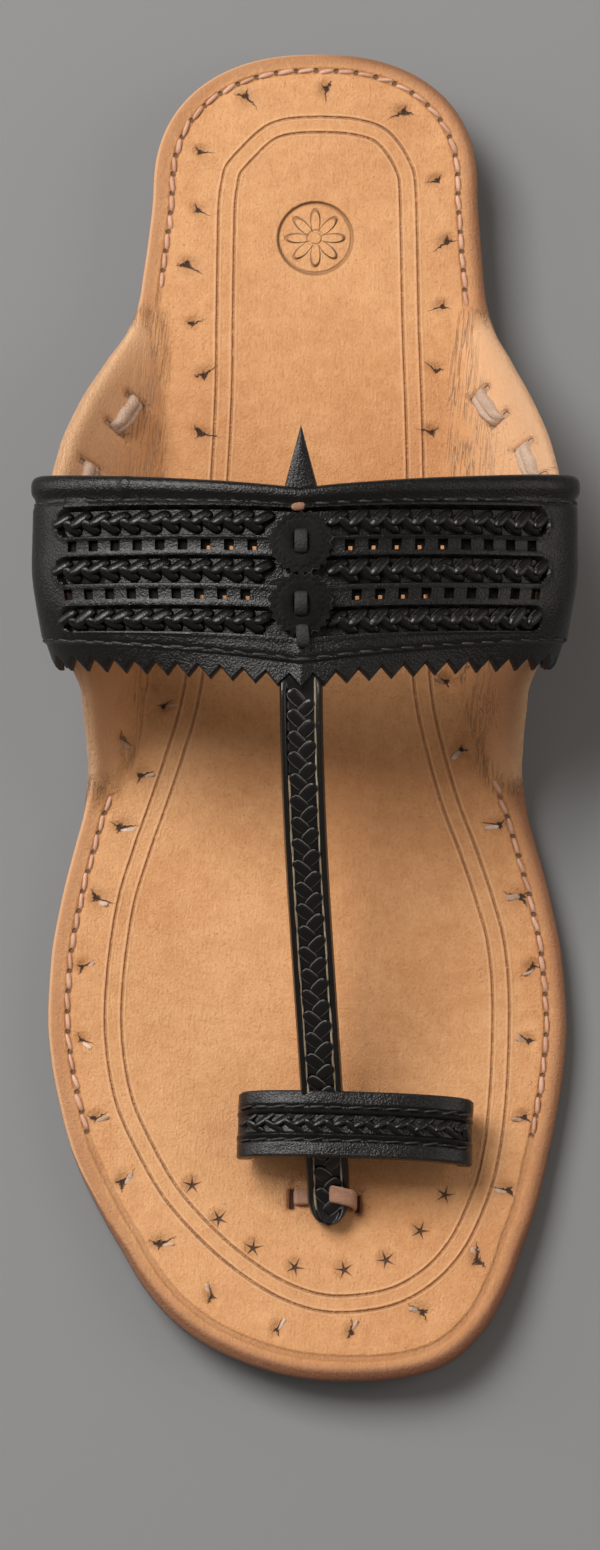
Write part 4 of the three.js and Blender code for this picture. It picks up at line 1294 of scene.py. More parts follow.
@dataclass
class Footbed:
    """The natural leather footbed: two ears, tooled border, cuts, punches and edge stitches."""

    finishes: Finishes
    spokes: Spokes = field(default_factory=Spokes)
    edge_radius: float = 1.9
    lower_radius: float = 0.6
    seam_rows: Sequence[float] = (5.7, 5.0, 4.55, 4.15, 3.75, 3.3, 2.6)
    border_points: Sequence[Pair] = (
        (4.5, 125.6), (10.8, 125.0), (16.0, 123.2), (19.4, 119.8), (22.0, 115.0), (22.9, 110.6),
        (23.2, 99.0), (23.5, 80.0), (24.1, 60.0), (24.5, 40.0), (25.0, 20.0), (25.7, 3.4),
        (28.1, -9.3), (31.1, -19.9), (35.0, -30.5), (38.4, -41.0), (40.6, -50.0), (41.5, -62.0),
        (40.9, -80.0), (39.3, -92.9), (36.6, -103.2), (31.8, -113.4), (25.2, -120.6),
        (16.8, -125.0), (5.5, -126.3), (-3.5, -124.2), (-12.0, -119.4), (-20.5, -112.4),
        (-28.8, -103.1), (-34.8, -92.8), (-39.2, -82.5), (-41.3, -70.0), (-41.2, -57.6),
        (-39.2, -42.0), (-35.9, -30.3), (-32.3, -19.8), (-28.9, -9.2), (-25.6, 3.5),
        (-21.9, 25.0), (-20.0, 45.0), (-19.0, 65.0), (-18.8, 82.0), (-18.6, 99.0), (-18.4, 107.0),
        (-17.8, 111.6), (-16.9, 115.0), (-13.8, 118.8), (-10.2, 122.4), (-7.0, 124.4),
        (-2.6, 125.4),
    )
    slits: Sequence[Pair] = (
        (4, 131.5), (-12.5, 130), (20, 126.5), (-22, 118), (27, 111.5), (-22.5, 105), (29, 98),
        (-24.5, 93), (28, 84), (-23.5, 80.5), (26.5, 70.5), (-21, 69.5), (-21.5, 56.5),
        (25.5, 57), (-29.5, 0), (-37.5, -8), (-34, -14.5), (-38, -25.5), (-43, -40.5),
        (-46, -54.5), (-46, -70), (-43, -86), (-37.5, -99), (-29.5, -112), (-19.5, -122.5),
        (-6, -129.5), (9, -130), (23, -126), (34.5, -115), (40.5, -101), (44, -86), (45, -70),
        (46, -55), (43.5, -40), (39, -25), (31.5, -9.5), (28.5, 5),
    )
    stars: Sequence[Pair] = (
        (-23.5, -100), (-18, -107), (-11, -113), (-2.5, -117), (7.5, -117.5), (16, -115.5),
        (23, -109.5), (28, -102),
    )
    stamp: Pair = (1.8, 99.0)
    # Soft creases: middle x and y, turn in degrees, half length, depth
    folds: Sequence[tuple[float, float, float, float, float]] = (
        (-27, -62, -14, 9, 0.13), (-20, -66.5, -6, 11, 0.12), (-11, -70, -9, 7, 0.10),
        (-33, -56, -24, 6, 0.11), (-24, -70.5, -12, 6, 0.08), (26, -66, 12, 7, 0.07),
        (-39.5, 8, 62, 6, 0.22), (-41.5, 3.5, 52, 6, 0.20), (-36.5, 11, 70, 7, 0.18),
        (-42.5, -2, 40, 5, 0.15), (37.5, 9, 112, 7, 0.2), (40.5, 4, 122, 6, 0.18),
        (34.5, 13, 104, 7, 0.15), (42, -3, 134, 5, 0.14),
    )
    lace_slots: Sequence[Pair] = ((-3.1, -102.9), (10.2, -103.7))

    def build(self) -> list[bpy.types.Object]:
        """Makes the footbed, its stitches and the bits of lace in its slits.

        Returns:
            The pieces, the footbed first.
        """
        finishes = self.finishes
        bed = make_piece("footbed", self._bed(), Slot.NATURAL, finishes.footbed, 50)
        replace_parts(bed, "insole")
        stitches = make_piece("edge_stitches", self._stitches(), Slot.LACE, finishes.thread)
        laces = make_piece("slit_laces", self._lace_bits(), Slot.LACE, finishes.pale_lace)
        return [bed, stitches, laces]

    def _rows(self) -> list[tuple[Span, float, float]]:
        """The profile from the middle of the upper face, round the edge, to the lower face.

        Returns:
            Rows of (how it is measured, the measure, depth under the upper face).
        """
        r, low, wall = self.edge_radius, self.lower_radius, LAST.insole
        turn = np.linspace(0, np.pi / 2, 9)[1:]
        beside = (-1.0, -0.55, -0.28, 0.0, 0.28, 0.55, 1.0)
        border = [*(b - BORDER_GAP for b in beside), -BORDER_GAP / 2, *beside]
        middle = [*np.linspace(0, 0.62, 13), *np.linspace(0.65, 1, 17)[:-1]]
        level = [(Span.MIDDLE, middle), (Span.BORDER, border)]
        level += [(Span.BETWEEN, np.linspace(0, 1, 15)[1:-1]), (Span.EDGE, self.seam_rows)]
        rows = [(span, measure, 0.0) for span, measures in level for measure in measures]
        rows += [(Span.EDGE, r - r * math.sin(a), r - r * math.cos(a)) for a in turn]
        rows += [(Span.EDGE, 0.0, d) for d in np.linspace(r, wall - low, 3)[1:]]
        under = wall - low
        rows += [(Span.EDGE, low - low * math.cos(a), under + low * math.sin(a)) for a in turn]
        rows += [(Span.EDGE, e, wall) for e in (1.4, 3.0, 5.7)]
        rows += [(Span.BETWEEN, 0.6, wall), (Span.BETWEEN, 0.2, wall), (Span.BORDER, -1.0, wall)]
        return rows + [(Span.MIDDLE, f, wall) for f in (0.8, 0.5, 0.25, 0.0)]

    def _bed(self) -> Form:
        """The footbed: each profile row runs once round the sole, dented by its marks.

        Returns:
            The form, with the values that its finish reads.
        """
        start, heading = self.spokes.start, self.spokes.heading
        rim, rim_square = self.spokes.ring(LAST.outline(LAST.insole_half))
        border, border_square = self.spokes.ring(ring_spline(self.border_points))
        outer = border + 1.0 / border_square
        inside = border - (BORDER_GAP + 1.0) / border_square
        seam = rim - self.seam_rows[0] / rim_square
        reach = {
            Span.MIDDLE: lambda share: inside * share,
            Span.BORDER: lambda off: border + off / border_square,
            Span.BETWEEN: lambda share: outer + (seam - outer) * share,
            Span.EDGE: lambda inset: rim - inset / rim_square,
        }
        rows = self._rows()
        reaches = np.stack([reach[span](measure) for span, measure, _ in rows])
        depth = np.array([row[2] for row in rows])[:, None] + 0 * reaches
        plan = start + heading * reaches[..., None]
        x, y = plan[..., 0], plan[..., 1]
        edge = np.abs(rim - reaches) * rim_square
        aside = reaches - border
        ear = np.minimum(LAST.climb(x, y), 1) * smoothstep(0.5, 8.0, LAST.ear_rise(LAST.station(y)))
        mark, dent = self._marks(x, y)
        dent += 0.3 * bell(aside, 0.36) + 0.3 * bell(aside * border_square + BORDER_GAP, 0.36)
        dent += 0.22 * bell(edge - STITCH_INSET, 0.6) * (ear < 0.05) + self._creases(x, y, ear)
        dent -= 0.12 * np.sin(x * 0.085 + 1) * np.sin(y * 0.06) + 0.05 * np.sin(x * 0.21 + y * 0.13)
        sunk = depth + dent * (depth < 0.01)
        points = stack(x, y, LAST.surface(x, y)) - LAST.normal(x, y) * sunk[..., None]
        values = {
            "trim": stack(edge, aside * border_square, ear).reshape(-1, 3),
            "mark": mark.reshape(-1, 3),
            "beat": np.tile(self._beat(), (len(rows), 1)),
            "under": smoothstep(0.3, 2.2, depth).ravel(),
        }
        return Form(points.reshape(-1, 3), grid_faces(*x.shape, ring=True), values)

    def _creases(self, x: Array, y: Array, ear: Array) -> Array:
        """How deep the creases are.

        Where an ear folds they are sine ridges whose phase drifts along the shoe. Each
        listed fold is a bell-shaped trough with a lower lip beside it.

        Args:
            x: plan places across the shoe.
            y: plan places along it.
            ear: share of the way up an ear.

        Returns:
            The depths.
        """
        zone = smoothstep(0.0, 0.1, ear) * (1 - smoothstep(0.3, 0.75, ear))
        drift = x * 1.15 + 1.3 * np.sin(y * 0.09) + 0.7 * np.sin(y * 0.21 + x * 0.3)
        fine = np.sin(x * 2.1 + 1.1 * np.sin(y * 0.13 + 2))
        dent = zone * (0.2 * np.maximum(np.sin(drift), 0) ** 3 + 0.06 * fine)
        for fx, fy, turn, long, depth in self.folds:
            along, off = local_to(x - fx, y - fy, math.radians(turn))
            bow = off - 0.04 * along * along / long
            dent += depth * (bell(bow, 0.8) - 0.5 * bell(bow - 1.5, 0.9)) * bell(along, long)
        return dent

    def _mark_list(self) -> list[tuple[Mark, int, Pair, float]]:
        """Every mark: its kind, its number among its kind, its plan place and its turn."""
        groups = [(Mark.SLIT, self.slits), (Mark.STAR, self.stars)]
        groups += [(Mark.SLOT, self.lace_slots), (Mark.ROSETTE, [self.stamp])]
        marks = []
        for kind, places in groups:
            marks += [(kind, i, spot, self._turn(kind, spot, i)) for i, spot in enumerate(places)]
        for lace in EAR_LACES:
            half = 0.44 * EAR_LACE_LENGTH
            near, far = (lace.spot(end, 0.0, 0.0)[:2] for end in (-half, half))
            turn = math.atan2(far[1] - near[1], far[0] - near[0])
            marks += [(Mark.SLOT, 0, tuple(end), turn) for end in (near, far)]
        return marks

    def _marks(self, x: Array, y: Array) -> tuple[Array, Array]:
        """The nearest mark to each plan place.

        Args:
            x: plan places across the shoe.
            y: plan places along it.

        Returns:
            Local coordinates about that mark with its kind, and how deep the marks dent.
        """
        radius = {Mark.SLIT: 3.6, Mark.STAR: 3.0, Mark.SLOT: 2.9, Mark.ROSETTE: 9.3}
        mark = np.zeros((*x.shape, 3))
        closest = np.full_like(x, np.inf)
        dent = np.zeros_like(x)
        for kind, number, (px, py), turn in self._mark_list():
            lx, ly = local_to(x - px, y - py, turn)
            past = np.hypot(lx, ly) - radius[kind]
            grown, flip = 1.0, 1.0
            if kind is Mark.SLIT:
                grown = 1.0 + 0.22 * math.sin(number * 5.1)
                flip = -1.0 if (number * 7) % 3 == 1 else 1.0
            here = stack(lx * grown * flip, ly * grown, (past < 0) * float(kind.value))
            mark = np.where((past < closest)[..., None], here, mark)
            closest = np.minimum(closest, past)
            dent += self._dent(kind, lx, ly) * (past < 0 if kind is Mark.ROSETTE else 1)
        return mark, dent

    def _dent(self, kind: Mark, x: Array, y: Array) -> Array:
        """How deep a mark dents the leather about its middle.

        Slits and stars are bells with a raised lip, a slot is a bell round a bar, and the
        stamp is its own petal lines.

        Args:
            kind: what the mark is.
            x: places across it.
            y: places along it.

        Returns:
            The depths.
        """
        r = np.hypot(x, y)
        if kind is Mark.SLIT:
            lips = 0.24 * bell(np.hypot(x + 1.8, y * 0.7), 1.3)
            lips += 0.16 * bell(np.hypot(x - 1.8, y * 0.7), 1.2)
            return 0.7 * bell(np.hypot(x * 1.3, (y - 0.6) * 0.8), 1.2) - lips
        if kind is Mark.STAR:
            return 0.6 * bell(r, 1.1) - 0.12 * bell(r - 2.4, 0.8)
        if kind is Mark.SLOT:
            past = np.maximum(np.abs(x) - 0.3, 0) + np.maximum(np.abs(y) - 1.9, 0)
            return 0.7 * bell(past, 0.8)
        petal = r - 1.6 - 4.2 * np.abs(np.cos(4 * np.arctan2(x, y)))
        return 0.12 * bell(np.minimum(np.abs(petal), np.abs(r - 7.4)), 0.9)

    def _turn(self, kind: Mark, place: Pair, number: int) -> float:
        """How far a mark is turned: slits point outwards from the shoe's middle, give or take.

        Args:
            kind: what the mark is.
            place: its plan place.
            number: its number among its kind.

        Returns:
            The angle in radians.
        """
        x, y = place
        if kind is Mark.SLIT:
            middle = min(max(y, -75.0), 100.0)
            return math.atan2(y - middle, x) - math.pi / 2 + 0.6 * math.sin(number * 2.4)
        if kind is Mark.STAR:
            return 0.5 * math.sin(number * 1.7)
        return math.radians(-2.0) if kind is Mark.SLOT else 0.0

    def _seam(self) -> Array:
        """Closed plan line of the stitches, at an even inset from the edge."""
        rim, square = self.spokes.ring(LAST.outline(LAST.insole_half))
        reach = (rim - STITCH_INSET / square)[:, None]
        line = self.spokes.start + self.spokes.heading * reach
        return np.concatenate([line, line[:1]])

    def _stance(self, plan: Array, ahead: Array) -> Stance:
        """Places on the upper face, with a plan direction as their along.

        Args:
            plan: plan places.
            ahead: a plan direction at each.

        Returns:
            The places.
        """
        x, y = plan.T
        out = LAST.normal(x, y)
        ahead = stack(*ahead.T, 0.0)
        along = unit(ahead - (ahead * out).sum(-1, keepdims=True) * out)
        return Stance(stack(x, y, LAST.surface(x, y)), along, np.cross(out, along), out)

    def _sewn(self, plan: Array) -> Array:
        """Where the edge is stitched: round the heel and down both sides of the forefoot."""
        x, y = plan.T
        return (y > np.where(x < 0, 90.0, 85.5)) | ((y < -17.0) & (y > -90.0))

    def _beat(self) -> Array:
        """The stitch rhythm at each ray: cosine and sine of its phase, and 1 where it is sewn."""
        line = self._seam()
        run = run_along(line)
        phase = run[:-1] / run[-1] * int(run[-1] / STITCH_PITCH) * 2 * np.pi
        return stack(np.cos(phase), np.sin(phase), self._sewn(line[:-1]))

    def _stitches(self) -> Form:
        """Slanted stitches, each between two awl holes."""
        line = self._seam()
        even = rail(line, int(run_along(line)[-1] / STITCH_PITCH) * 2 + 1)[1::2]
        ahead = np.roll(even, -1, 0) - np.roll(even, 1, 0)
        keep = self._sewn(even)
        wave = jitter(3, keep.sum())
        stance = self._stance(even[keep], ahead[keep]).turned(0.13 + 0.06 * wave[:, 0])
        scale = 1 + np.stack([0.04 * wave[:, 1], 0.1 * wave[:, 2], 0 * wave[:, 0]], -1)
        stitch = thread_bit(STITCH_PITCH * 0.88, 0.92)
        return stance.moved(0, 0.06 * wave[:, 1], 0.02).placed(stitch, scale)

    def _lace_bits(self) -> Form:
        """A folded bit of pale lace beside the crack of each slit on the forefoot."""
        turns = [self._turn(Mark.SLIT, spot, i) for i, spot in enumerate(self.slits)]
        places, turns = np.array(self.slits, float), np.array(turns)
        fore = places[:, 1] < 20
        places, turn = places[fore], turns[fore] + np.pi / 2
        stance = self._stance(places, np.stack([np.cos(turn), np.sin(turn)], -1))
        wave = jitter(5, len(places))
        below = -np.sign(stance.across[:, 1]) * 0.65
        stance = stance.moved(-1.0 + 0.2 * wave[:, 0], below, -0.28).turned(0.25 * wave[:, 1])
        return stance.placed(pod(2.7, 0.95, 0.5, 0.4, 3, 2.6, 0.9), 1 + 0.2 * wave)


@dataclass
class Soles:
    """The bottom sole and the low stacked heel."""

    finishes: Finishes
    edge_radius: float = 0.7
    count: int = 700
    heel_centre: Pair = (1.0, 103.0)
    heel_front: float = 0.26
    heel_seams: Sequence[float] = (2.6, 5.1)

    def build(self) -> list[bpy.types.Object]:
        """Makes both pieces.

        Returns:
            The pieces.
        """

        def under(y: Array) -> Array:
            """Height of the outsole's underside."""
            return LAST.underside(LAST.station(y))

        rim = LAST.outline(LAST.outsole_half)
        outsole = self._layer(rim, (0.0, -10.0), under, lambda y: under(y) + LAST.outsole, ())
        sole = make_piece("sole", outsole, Slot.SOLE, self.finishes.sole, 60)
        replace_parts(sole, "outsole")
        rim = rim[rim[:, 1] >= float(LAST.place(self.heel_front))]
        off = rim - self.heel_centre
        rim = rim[np.argsort(np.arctan2(off[:, 1], off[:, 0]))]
        top = LAST.heel_height - LAST.gap
        flat, level = np.zeros_like, lambda y: np.full_like(y, top)
        heel = self._layer(rim, self.heel_centre, flat, level, self.heel_seams)
        lift = make_piece("stacked_heel", heel, Slot.SOLE, self.finishes.sole, 60)
        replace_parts(lift, "heel_lift")
        return [sole, lift]

    def _layer(
        self, rim: Array, centre: Pair, low: Callable[[Array], Array],
        high: Callable[[Array], Array], seams: Sequence[float],
    ) -> Form:
        """A thick plate: rings run round the rim, in to the centre above and below.

        Args:
            rim: the plate's closed outline.
            centre: a plan point that sees the whole rim.
            low: height of its underside at y.
            high: height of its upper face at y.
            seams: heights over the underside at which its side has a parting line.

        Returns:
            The plate.
        """
        edge = rail(np.concatenate([rim, rim[:1]]), self.count + 1)[:-1]
        inward = np.asarray(centre) - edge
        tangent = unit(np.roll(edge, -1, 0) - np.roll(edge, 1, 0))
        normal = np.stack([-tangent[:, 1], tangent[:, 0]], -1)
        normal *= np.sign((normal * inward).sum(-1, keepdims=True))
        r, turn, at_heel = self.edge_radius, np.linspace(0, np.pi / 2, 5), np.array([130.0])
        wall = float((high(at_heel) - low(at_heel))[0])
        # Each row: whether it is a share of the way in, how far in, share of the height, lift
        rows = [(True, f, 1.0, 0.0) for f in (1.0, 0.8, 0.6, 0.4, 0.2, 0.08)]
        rows += [(False, r - r * math.sin(a), 1.0, r * math.cos(a) - r) for a in turn]
        for share in np.linspace(0.9, 0.12, 14):
            nick = sum(float(bell(share * wall - seam, 0.3)) for seam in seams)
            rows.append((False, 0.25 * nick, share, 0.0))
        rows += [(False, r - r * math.cos(a), 0.0, r - r * math.sin(a)) for a in turn]
        rows += [(False, 2.6, 0.0, 0.0), (False, 3.2, 0.0, 0.35), (False, 3.8, 0.0, 0.0)]
        rows += [(True, f, 0.0, 0.0) for f in (0.2, 0.4, 0.6, 0.8, 1.0)]
        layers = []
        for to_centre, measure, share, lift in rows:
            x, y = (edge + (inward if to_centre else normal) * measure).T
            layers.append(stack(x, y, low(y) * (1 - share) + high(y) * share + lift))
        points = np.concatenate(layers)
        return Form(points, grid_faces(len(rows), self.count, ring=True))


@dataclass
class BandShape:
    """The instep band's surface.

    Along it, d runs from its middle. Across it, w runs from its rear edge.
    """

    wall: float = 2.1
    width: float = 38.0
    rise: float = 50.0
    vee_front: float = 9.6
    vee_rear: float = 7.4
    middle: float = -0.9
    flare: float = 0.9
    at: float = 0.427
    arch: float = 0.72
    leg_top: float = 1.01
    leg_end: float = 0.52
    leg_taper: float = 5.0
    drift: float = 3.2
    reach: float = 50.0

    def __post_init__(self) -> None:
        """Measures the run along the middle line on both sides."""
        self.share = np.linspace(0, 1, 500)
        half = np.full_like(self.share, 0.5)
        self.run = {
            side: run_along(self._point(self.share, half, side.value, self.wall)) for side in Side
        }

    def _inner(self, a: Array, v: Array, side: Array) -> Array:
        """Its inner face: a cubic arch from the top to the ear, then the ear's own slope.

        Args:
            a: share of the way from the band's middle to its end.
            v: share of the way from its rear edge to its front edge.
            side: the sign of x.

        Returns:
            Points in space.
        """
        a, v, side = np.broadcast_arrays(a, v, side)
        leg = np.clip((a - self.arch) / (1 - self.arch), 0, 1)
        rear = float(LAST.place(self.at)) + self.width / 2
        y = rear - v * self.width + self.leg_taper * leg * (2 * v - 1)
        at, wall = LAST.station(y), LAST.insole + LAST.gap
        flare = stack(side * self.flare * v * v, 0.0, 0.0)

        def on_ear(q: Array) -> Array:
            """Points over the ear's outer face at a share of the way up it."""
            return LAST.flange(at, side, q + 0 * at, wall) + flare

        top = stack(self.middle, y, LAST.top(LAST.station(y - self.vee_front)) + self.rise)
        shoulder = on_ear(self.leg_top)
        down = unit(on_ear(self.leg_top - 0.02) - shoulder)
        chord = np.linalg.norm(top - shoulder, axis=-1)[..., None]
        w = np.clip(a / self.arch, 0, 1)[..., None]
        rest = 1 - w
        level = stack(side, 0.0, 0.0) * chord * 1.25
        arch = top * rest**2 * (1 + 2 * w) + shoulder * w**2 * (3 - 2 * w)
        arch = arch + level * w * rest**2 - down * chord * 0.48 * w**2 * rest
        ear = on_ear(self.leg_top + (self.leg_end - self.leg_top) * leg)
        return np.where((a >= self.arch)[..., None], ear, arch)

    def _point(self, a: Array, v: Array, side: Array, height: Array) -> Array:
        """A point over the inner face: height runs square to the arch in its own section.

        Args:
            a: share of the way from the band's middle to its end.
            v: share of the way from its rear edge to its front edge.
            side: the sign of x.
            height: over the inner face.

        Returns:
            Points in space.
        """
        e = 0.002
        ahead, behind = np.minimum(a + e, 1), np.maximum(a - e, 0)
        run = self._inner(ahead, v, side) - self._inner(behind, v, side)
        long = np.hypot(run[..., 0], run[..., 2])
        off = stack(-run[..., 2] * side / long, 0 * long, run[..., 0] * side / long)
        off = np.where((np.asarray(a) > e)[..., None], off, np.array([0.0, 0.0, 1.0]))
        point = self._inner(a, v, side) + off * np.asarray(height)[..., None]
        vee = self.vee_rear + (self.vee_front - self.vee_rear) * v
        shift = vee * np.clip(1 - np.asarray(a) / self.arch, 0, None) ** 1.2
        return point - stack(0.0, shift, 0.0)

    def point(self, d: Array, w: Array, height: Array) -> Array:
        """Points of the band.

        Args:
            d: distance along it from its middle, negative towards the outer side.
            w: share of its width from the rear edge.
            height: over its inner face.

        Returns:
            Points in space.
        """
        d, w, height = np.broadcast_arrays(np.asarray(d, float), w, height)
        outer, inner = (np.interp(np.abs(d), self.run[side], self.share) for side in Side)
        sag = smoothstep(0.0, 0.15, w) * (1 - smoothstep(0.7, 0.88, w))
        v = w + self.drift / self.width * np.minimum(np.abs(d) / self.reach, 1.15) * sag
        return self._point(np.where(d < 0, outer, inner), v, np.where(d < 0, -1.0, 1.0), height)

    def stance(self, d: Array, w: Array, height: Array) -> Stance:
        """Places on the band that face its inner end, its rear edge and outwards."""
        return Stance.on(self.point, d, w, height, 0.02)


@dataclass
class InstepBand:
    """The black band: hem, slots with plaits, punched holes, stitch rows and a pinked edge."""

    finishes: Finishes
    shape: BandShape = field(default_factory=BandShape)
    braid_rows: Sequence[float] = (0.18, 0.425, 0.68)
    hole_rows: Sequence[float] = (0.3, 0.55)
    hole: float = 2.05
    hole_pitch: float = 4.75
    rosette: float = 13.0
    pink_pitch: float = 4.9
    pink_depth: float = 2.4
    braid_pitch: float = 4.3
    slot_half: float = 2.7
    hem: float = 2.9
    seam: float = 33.0
    seam_step: float = 0.45
    stitch_pitch: float = 4.4
    lining_hole: float = 0.84

    def build(self) -> list[bpy.types.Object]:
        """Makes the band, its lining, its plaits and its stitches.

        Returns:
            The pieces, the band first.
        """
        finishes = self.finishes
        return [
            make_piece("instep_band", self._band(), Slot.BLACK, finishes.band, 42),
            make_piece("band_lining", self._lining(), Slot.BLACK, finishes.suede, 42),
            make_piece("band_plaits", self._plaits(), Slot.BLACK, finishes.plait),
            make_piece("band_stitches", self._stitches(), Slot.BLACK, finishes.dark_thread),
        ]

    def _holes(self) -> list[Pair]:
        """Middles of the punched holes, as (d, w)."""
        places = []
        for i, row in enumerate(self.hole_rows):
            first = self.rosette / 2 + self.hole_pitch * (0.7 + 0.3 * i)
            for d in np.arange(first, self.shape.reach, self.hole_pitch):
                places += [(d, row), (-d, row)]
        return places

    def _punched(self, d: Array, w: Array, holes: Sequence[Pair], half: float) -> Array:
        """Which cells between the grid lines d and w are left when square holes are cut.

        Args:
            d: grid lines along the band.
            w: grid lines across it.
            holes: middles of the holes.
            half: half a hole's side.

        Returns:
            One truth value per cell.
        """
        keep = np.ones((len(w) - 1, len(d) - 1), bool)
        dc, wc = (d[1:] + d[:-1]) / 2, (w[1:] + w[:-1]) / 2
        for hole_d, hole_w in holes:
            across = np.abs(wc - hole_w) < half / self.shape.width
            keep[np.ix_(across, np.abs(dc - hole_d) < half)] = False
        return keep

    def _slot(self, d: Array, w: Array) -> Array:
        """Distance outside the nearest long slot, negative inside: a bar with round ends."""
        past = np.maximum(np.abs(d) - (self.shape.reach + 1.6 - self.slot_half), 0)
        offs = [(w - row) * self.shape.width for row in self.braid_rows]
        return np.min([np.hypot(past, off) for off in offs], axis=0) - self.slot_half

    def _height(self, d: Array, w: Array) -> Array:
        """Thickness: a rolled hem, sunk slots, a stitched seam and a thinner pinked edge.

        Args:
            d: places along the band.
            w: shares of its width from the rear edge.

        Returns:
            The thickness at each place.
        """
        m, half = w * self.shape.width, self.hem / 2
        roll = np.where(m < self.hem, 0.75 * bulge(m - half, half) - 0.25, 0)
        lapped = smoothstep(-37.5, -37.0, d) * (1 - smoothstep(-35.6, -35.1, d))
        h = self.shape.wall + roll + 0.25 * lapped * (m < self.hem + 0.3)
        h = h - 0.5 * bell(m - self.hem - 0.45, 0.38)
        slot = self._slot(d, w)
        h = h - 1.35 * (1 - smoothstep(-0.45, 0.05, slot)) + 0.26 * bell(slot - 0.4, 0.35)
        h = h - 0.32 * bell(m - self.seam + 0.5, 0.45)
        h = h - 0.6 * smoothstep(self.seam, self.seam + self.seam_step, m)
        h = h + 0.5 * bell(d, 1.3) * smoothstep(0.72, 0.8, w)
        h = h + 0.07 * np.sin(d * 0.31) * np.sin(m * 0.37 + 1)
        return h + 0.05 * np.sin(d * 0.11 + m * 0.2)

    def _band(self) -> Form:
        """A thick sheet over a grid whose lines follow the holes, slots and pinked points."""
        shape, holes, half = self.shape, self._holes(), self.hole / 2
        start, stop = -shape.run[Side.OUTER][-1], shape.run[Side.INNER][-1]
        teeth = np.arange(-14, 15) * self.pink_pitch
        stops = [start, stop, 0.0, *(d + s for d, _ in holes for s in (-half, half))]
        stops += [t for t in (*teeth, *(teeth + self.pink_pitch / 2)) if start < t < stop]
        rows = [r + s * half / shape.width for r in self.hole_rows for s in (-1, 1)]
        beside = [s * (self.slot_half + e) / shape.width for s in (-1, 1) for e in (0.05, -0.45)]
        rows += [row + off for row in self.braid_rows for off in beside]
        rows += [m / shape.width for m in (self.hem, self.seam, self.seam + self.seam_step)]
        rows += [0.0, 0.004, 0.012, 0.024, 0.05, 0.1, 0.82, 0.88, 1.0]
        d, w = filled(stops, 0.62), filled(rows, 0.6 / shape.width)
        dd, ww = np.meshgrid(d, w)
        tooth = np.abs(((dd / self.pink_pitch) % 1) - 0.5) * 2
        wide = ww - smoothstep(0.9, 1.0, ww) * (1 - tooth) * self.pink_depth / shape.width
        border = np.minimum(ww, 1 - ww) * shape.width
        end = np.minimum(dd - start, stop - dd)
        height = self._height(dd, ww) - 0.55 * rounded(0.5 - border, 0.5)
        height = height - 0.5 * rounded(0.6 - end, 0.6)
        keep = self._punched(d, w, holes, half)
        raw = np.concatenate([smoothstep(0.97, 1.0, ww).ravel() * 0.6, np.ones(dd.size)])
        upper, lower = shape.point(dd, wide, height), shape.point(dd, wide, 0.06)
        return Form.sheet(upper, lower, keep, raw=raw)

    def _lining(self) -> Form:
        """A strip under the rows of holes, with a small opening at every hole near the middle."""
        half, part = self.lining_hole / 2, self.lining_hole / 2 / self.shape.width
        holes = [(d + 0.25, w + 0.25 / self.shape.width) for d, w in self._holes()]
        d = filled([-50.0, 50.0, *(d + s for d, _ in holes for s in (-half, half))], 1.6)
        w = filled([0.24, 0.61, *(h + s for _, h in holes for s in (-part, part))], 0.04)
        dd, ww = np.meshgrid(d, w)
        keep = self._punched(d, w, [spot for spot in holes if -21 < spot[0] < 30], half)
        return Form.sheet(*(self.shape.point(dd, ww, height) for height in (0.7, 0.1)), keep)

    def _plaits(self) -> Form:
        """Three plaits a side: slanted pads in two files, each end under the next pad.

        The outer side's pads are round and banked like a rope's, the inner side's are flatter.

        Returns:
            All the pads.
        """
        shape, pitch = self.shape, self.braid_pitch
        # Length in pitches, width, rise, bluntness, turn and bank of a side's pads
        looks = {Side.OUTER: (1.08, 2.55, 1.0, 3.2, 0.74, 0.42)}
        looks[Side.INNER] = (1.26, 2.5, 0.95, 2.5, 0.8, 0.34)
        pieces = []
        for row, side, file in product(self.braid_rows, Side, (-1, 1)):
            long, wide, rise, blunt, turn, bank = looks[side]
            d = np.arange(self.rosette / 2 + 0.9, shape.reach + 1.0, pitch)
            place = (d + (0.5 if file > 0 else 0.0) * pitch) * side.value
            place = place[np.abs(place) < shape.reach + 0.4]
            w = row + file * self.slot_half * 0.27 / shape.width
            stance = shape.stance(place, w, shape.wall - 0.72 - 0.16 * file)
            wave = jitter(11 + file, len(place))
            # One long edge of each pad gets a painted highlight
            pad = pod(pitch * long, wide, rise, 0.9, blunt, 2.3, 0.75, -file)
            stance = stance.turned(-file * turn + 0.08 * wave[:, 0]).banked(-file * bank)
            pieces.append(stance.placed(pad, 1 + 0.05 * wave))
        return Form.together(pieces)

    def _stitches(self) -> Form:
        """Stitches along the hem and the front seam."""
        pieces, pitch = [], self.stitch_pitch
        for m, phase in ((3.4, 0.0), (32.6, 0.4)):
            d = np.arange(-66.0, 66.0, pitch) + phase
            w = m / self.shape.width + 0 * d
            wave = jitter(int(m), len(d))
            stance = self.shape.stance(d, w, self._height(d, w) + 0.02)
            stance = stance.turned(0.06 * wave[:, 0] - 0.08)
            pieces.append(stance.placed(thread_bit(pitch * 0.74, 0.72), 1 + 0.08 * wave))
        return Form.together(pieces)


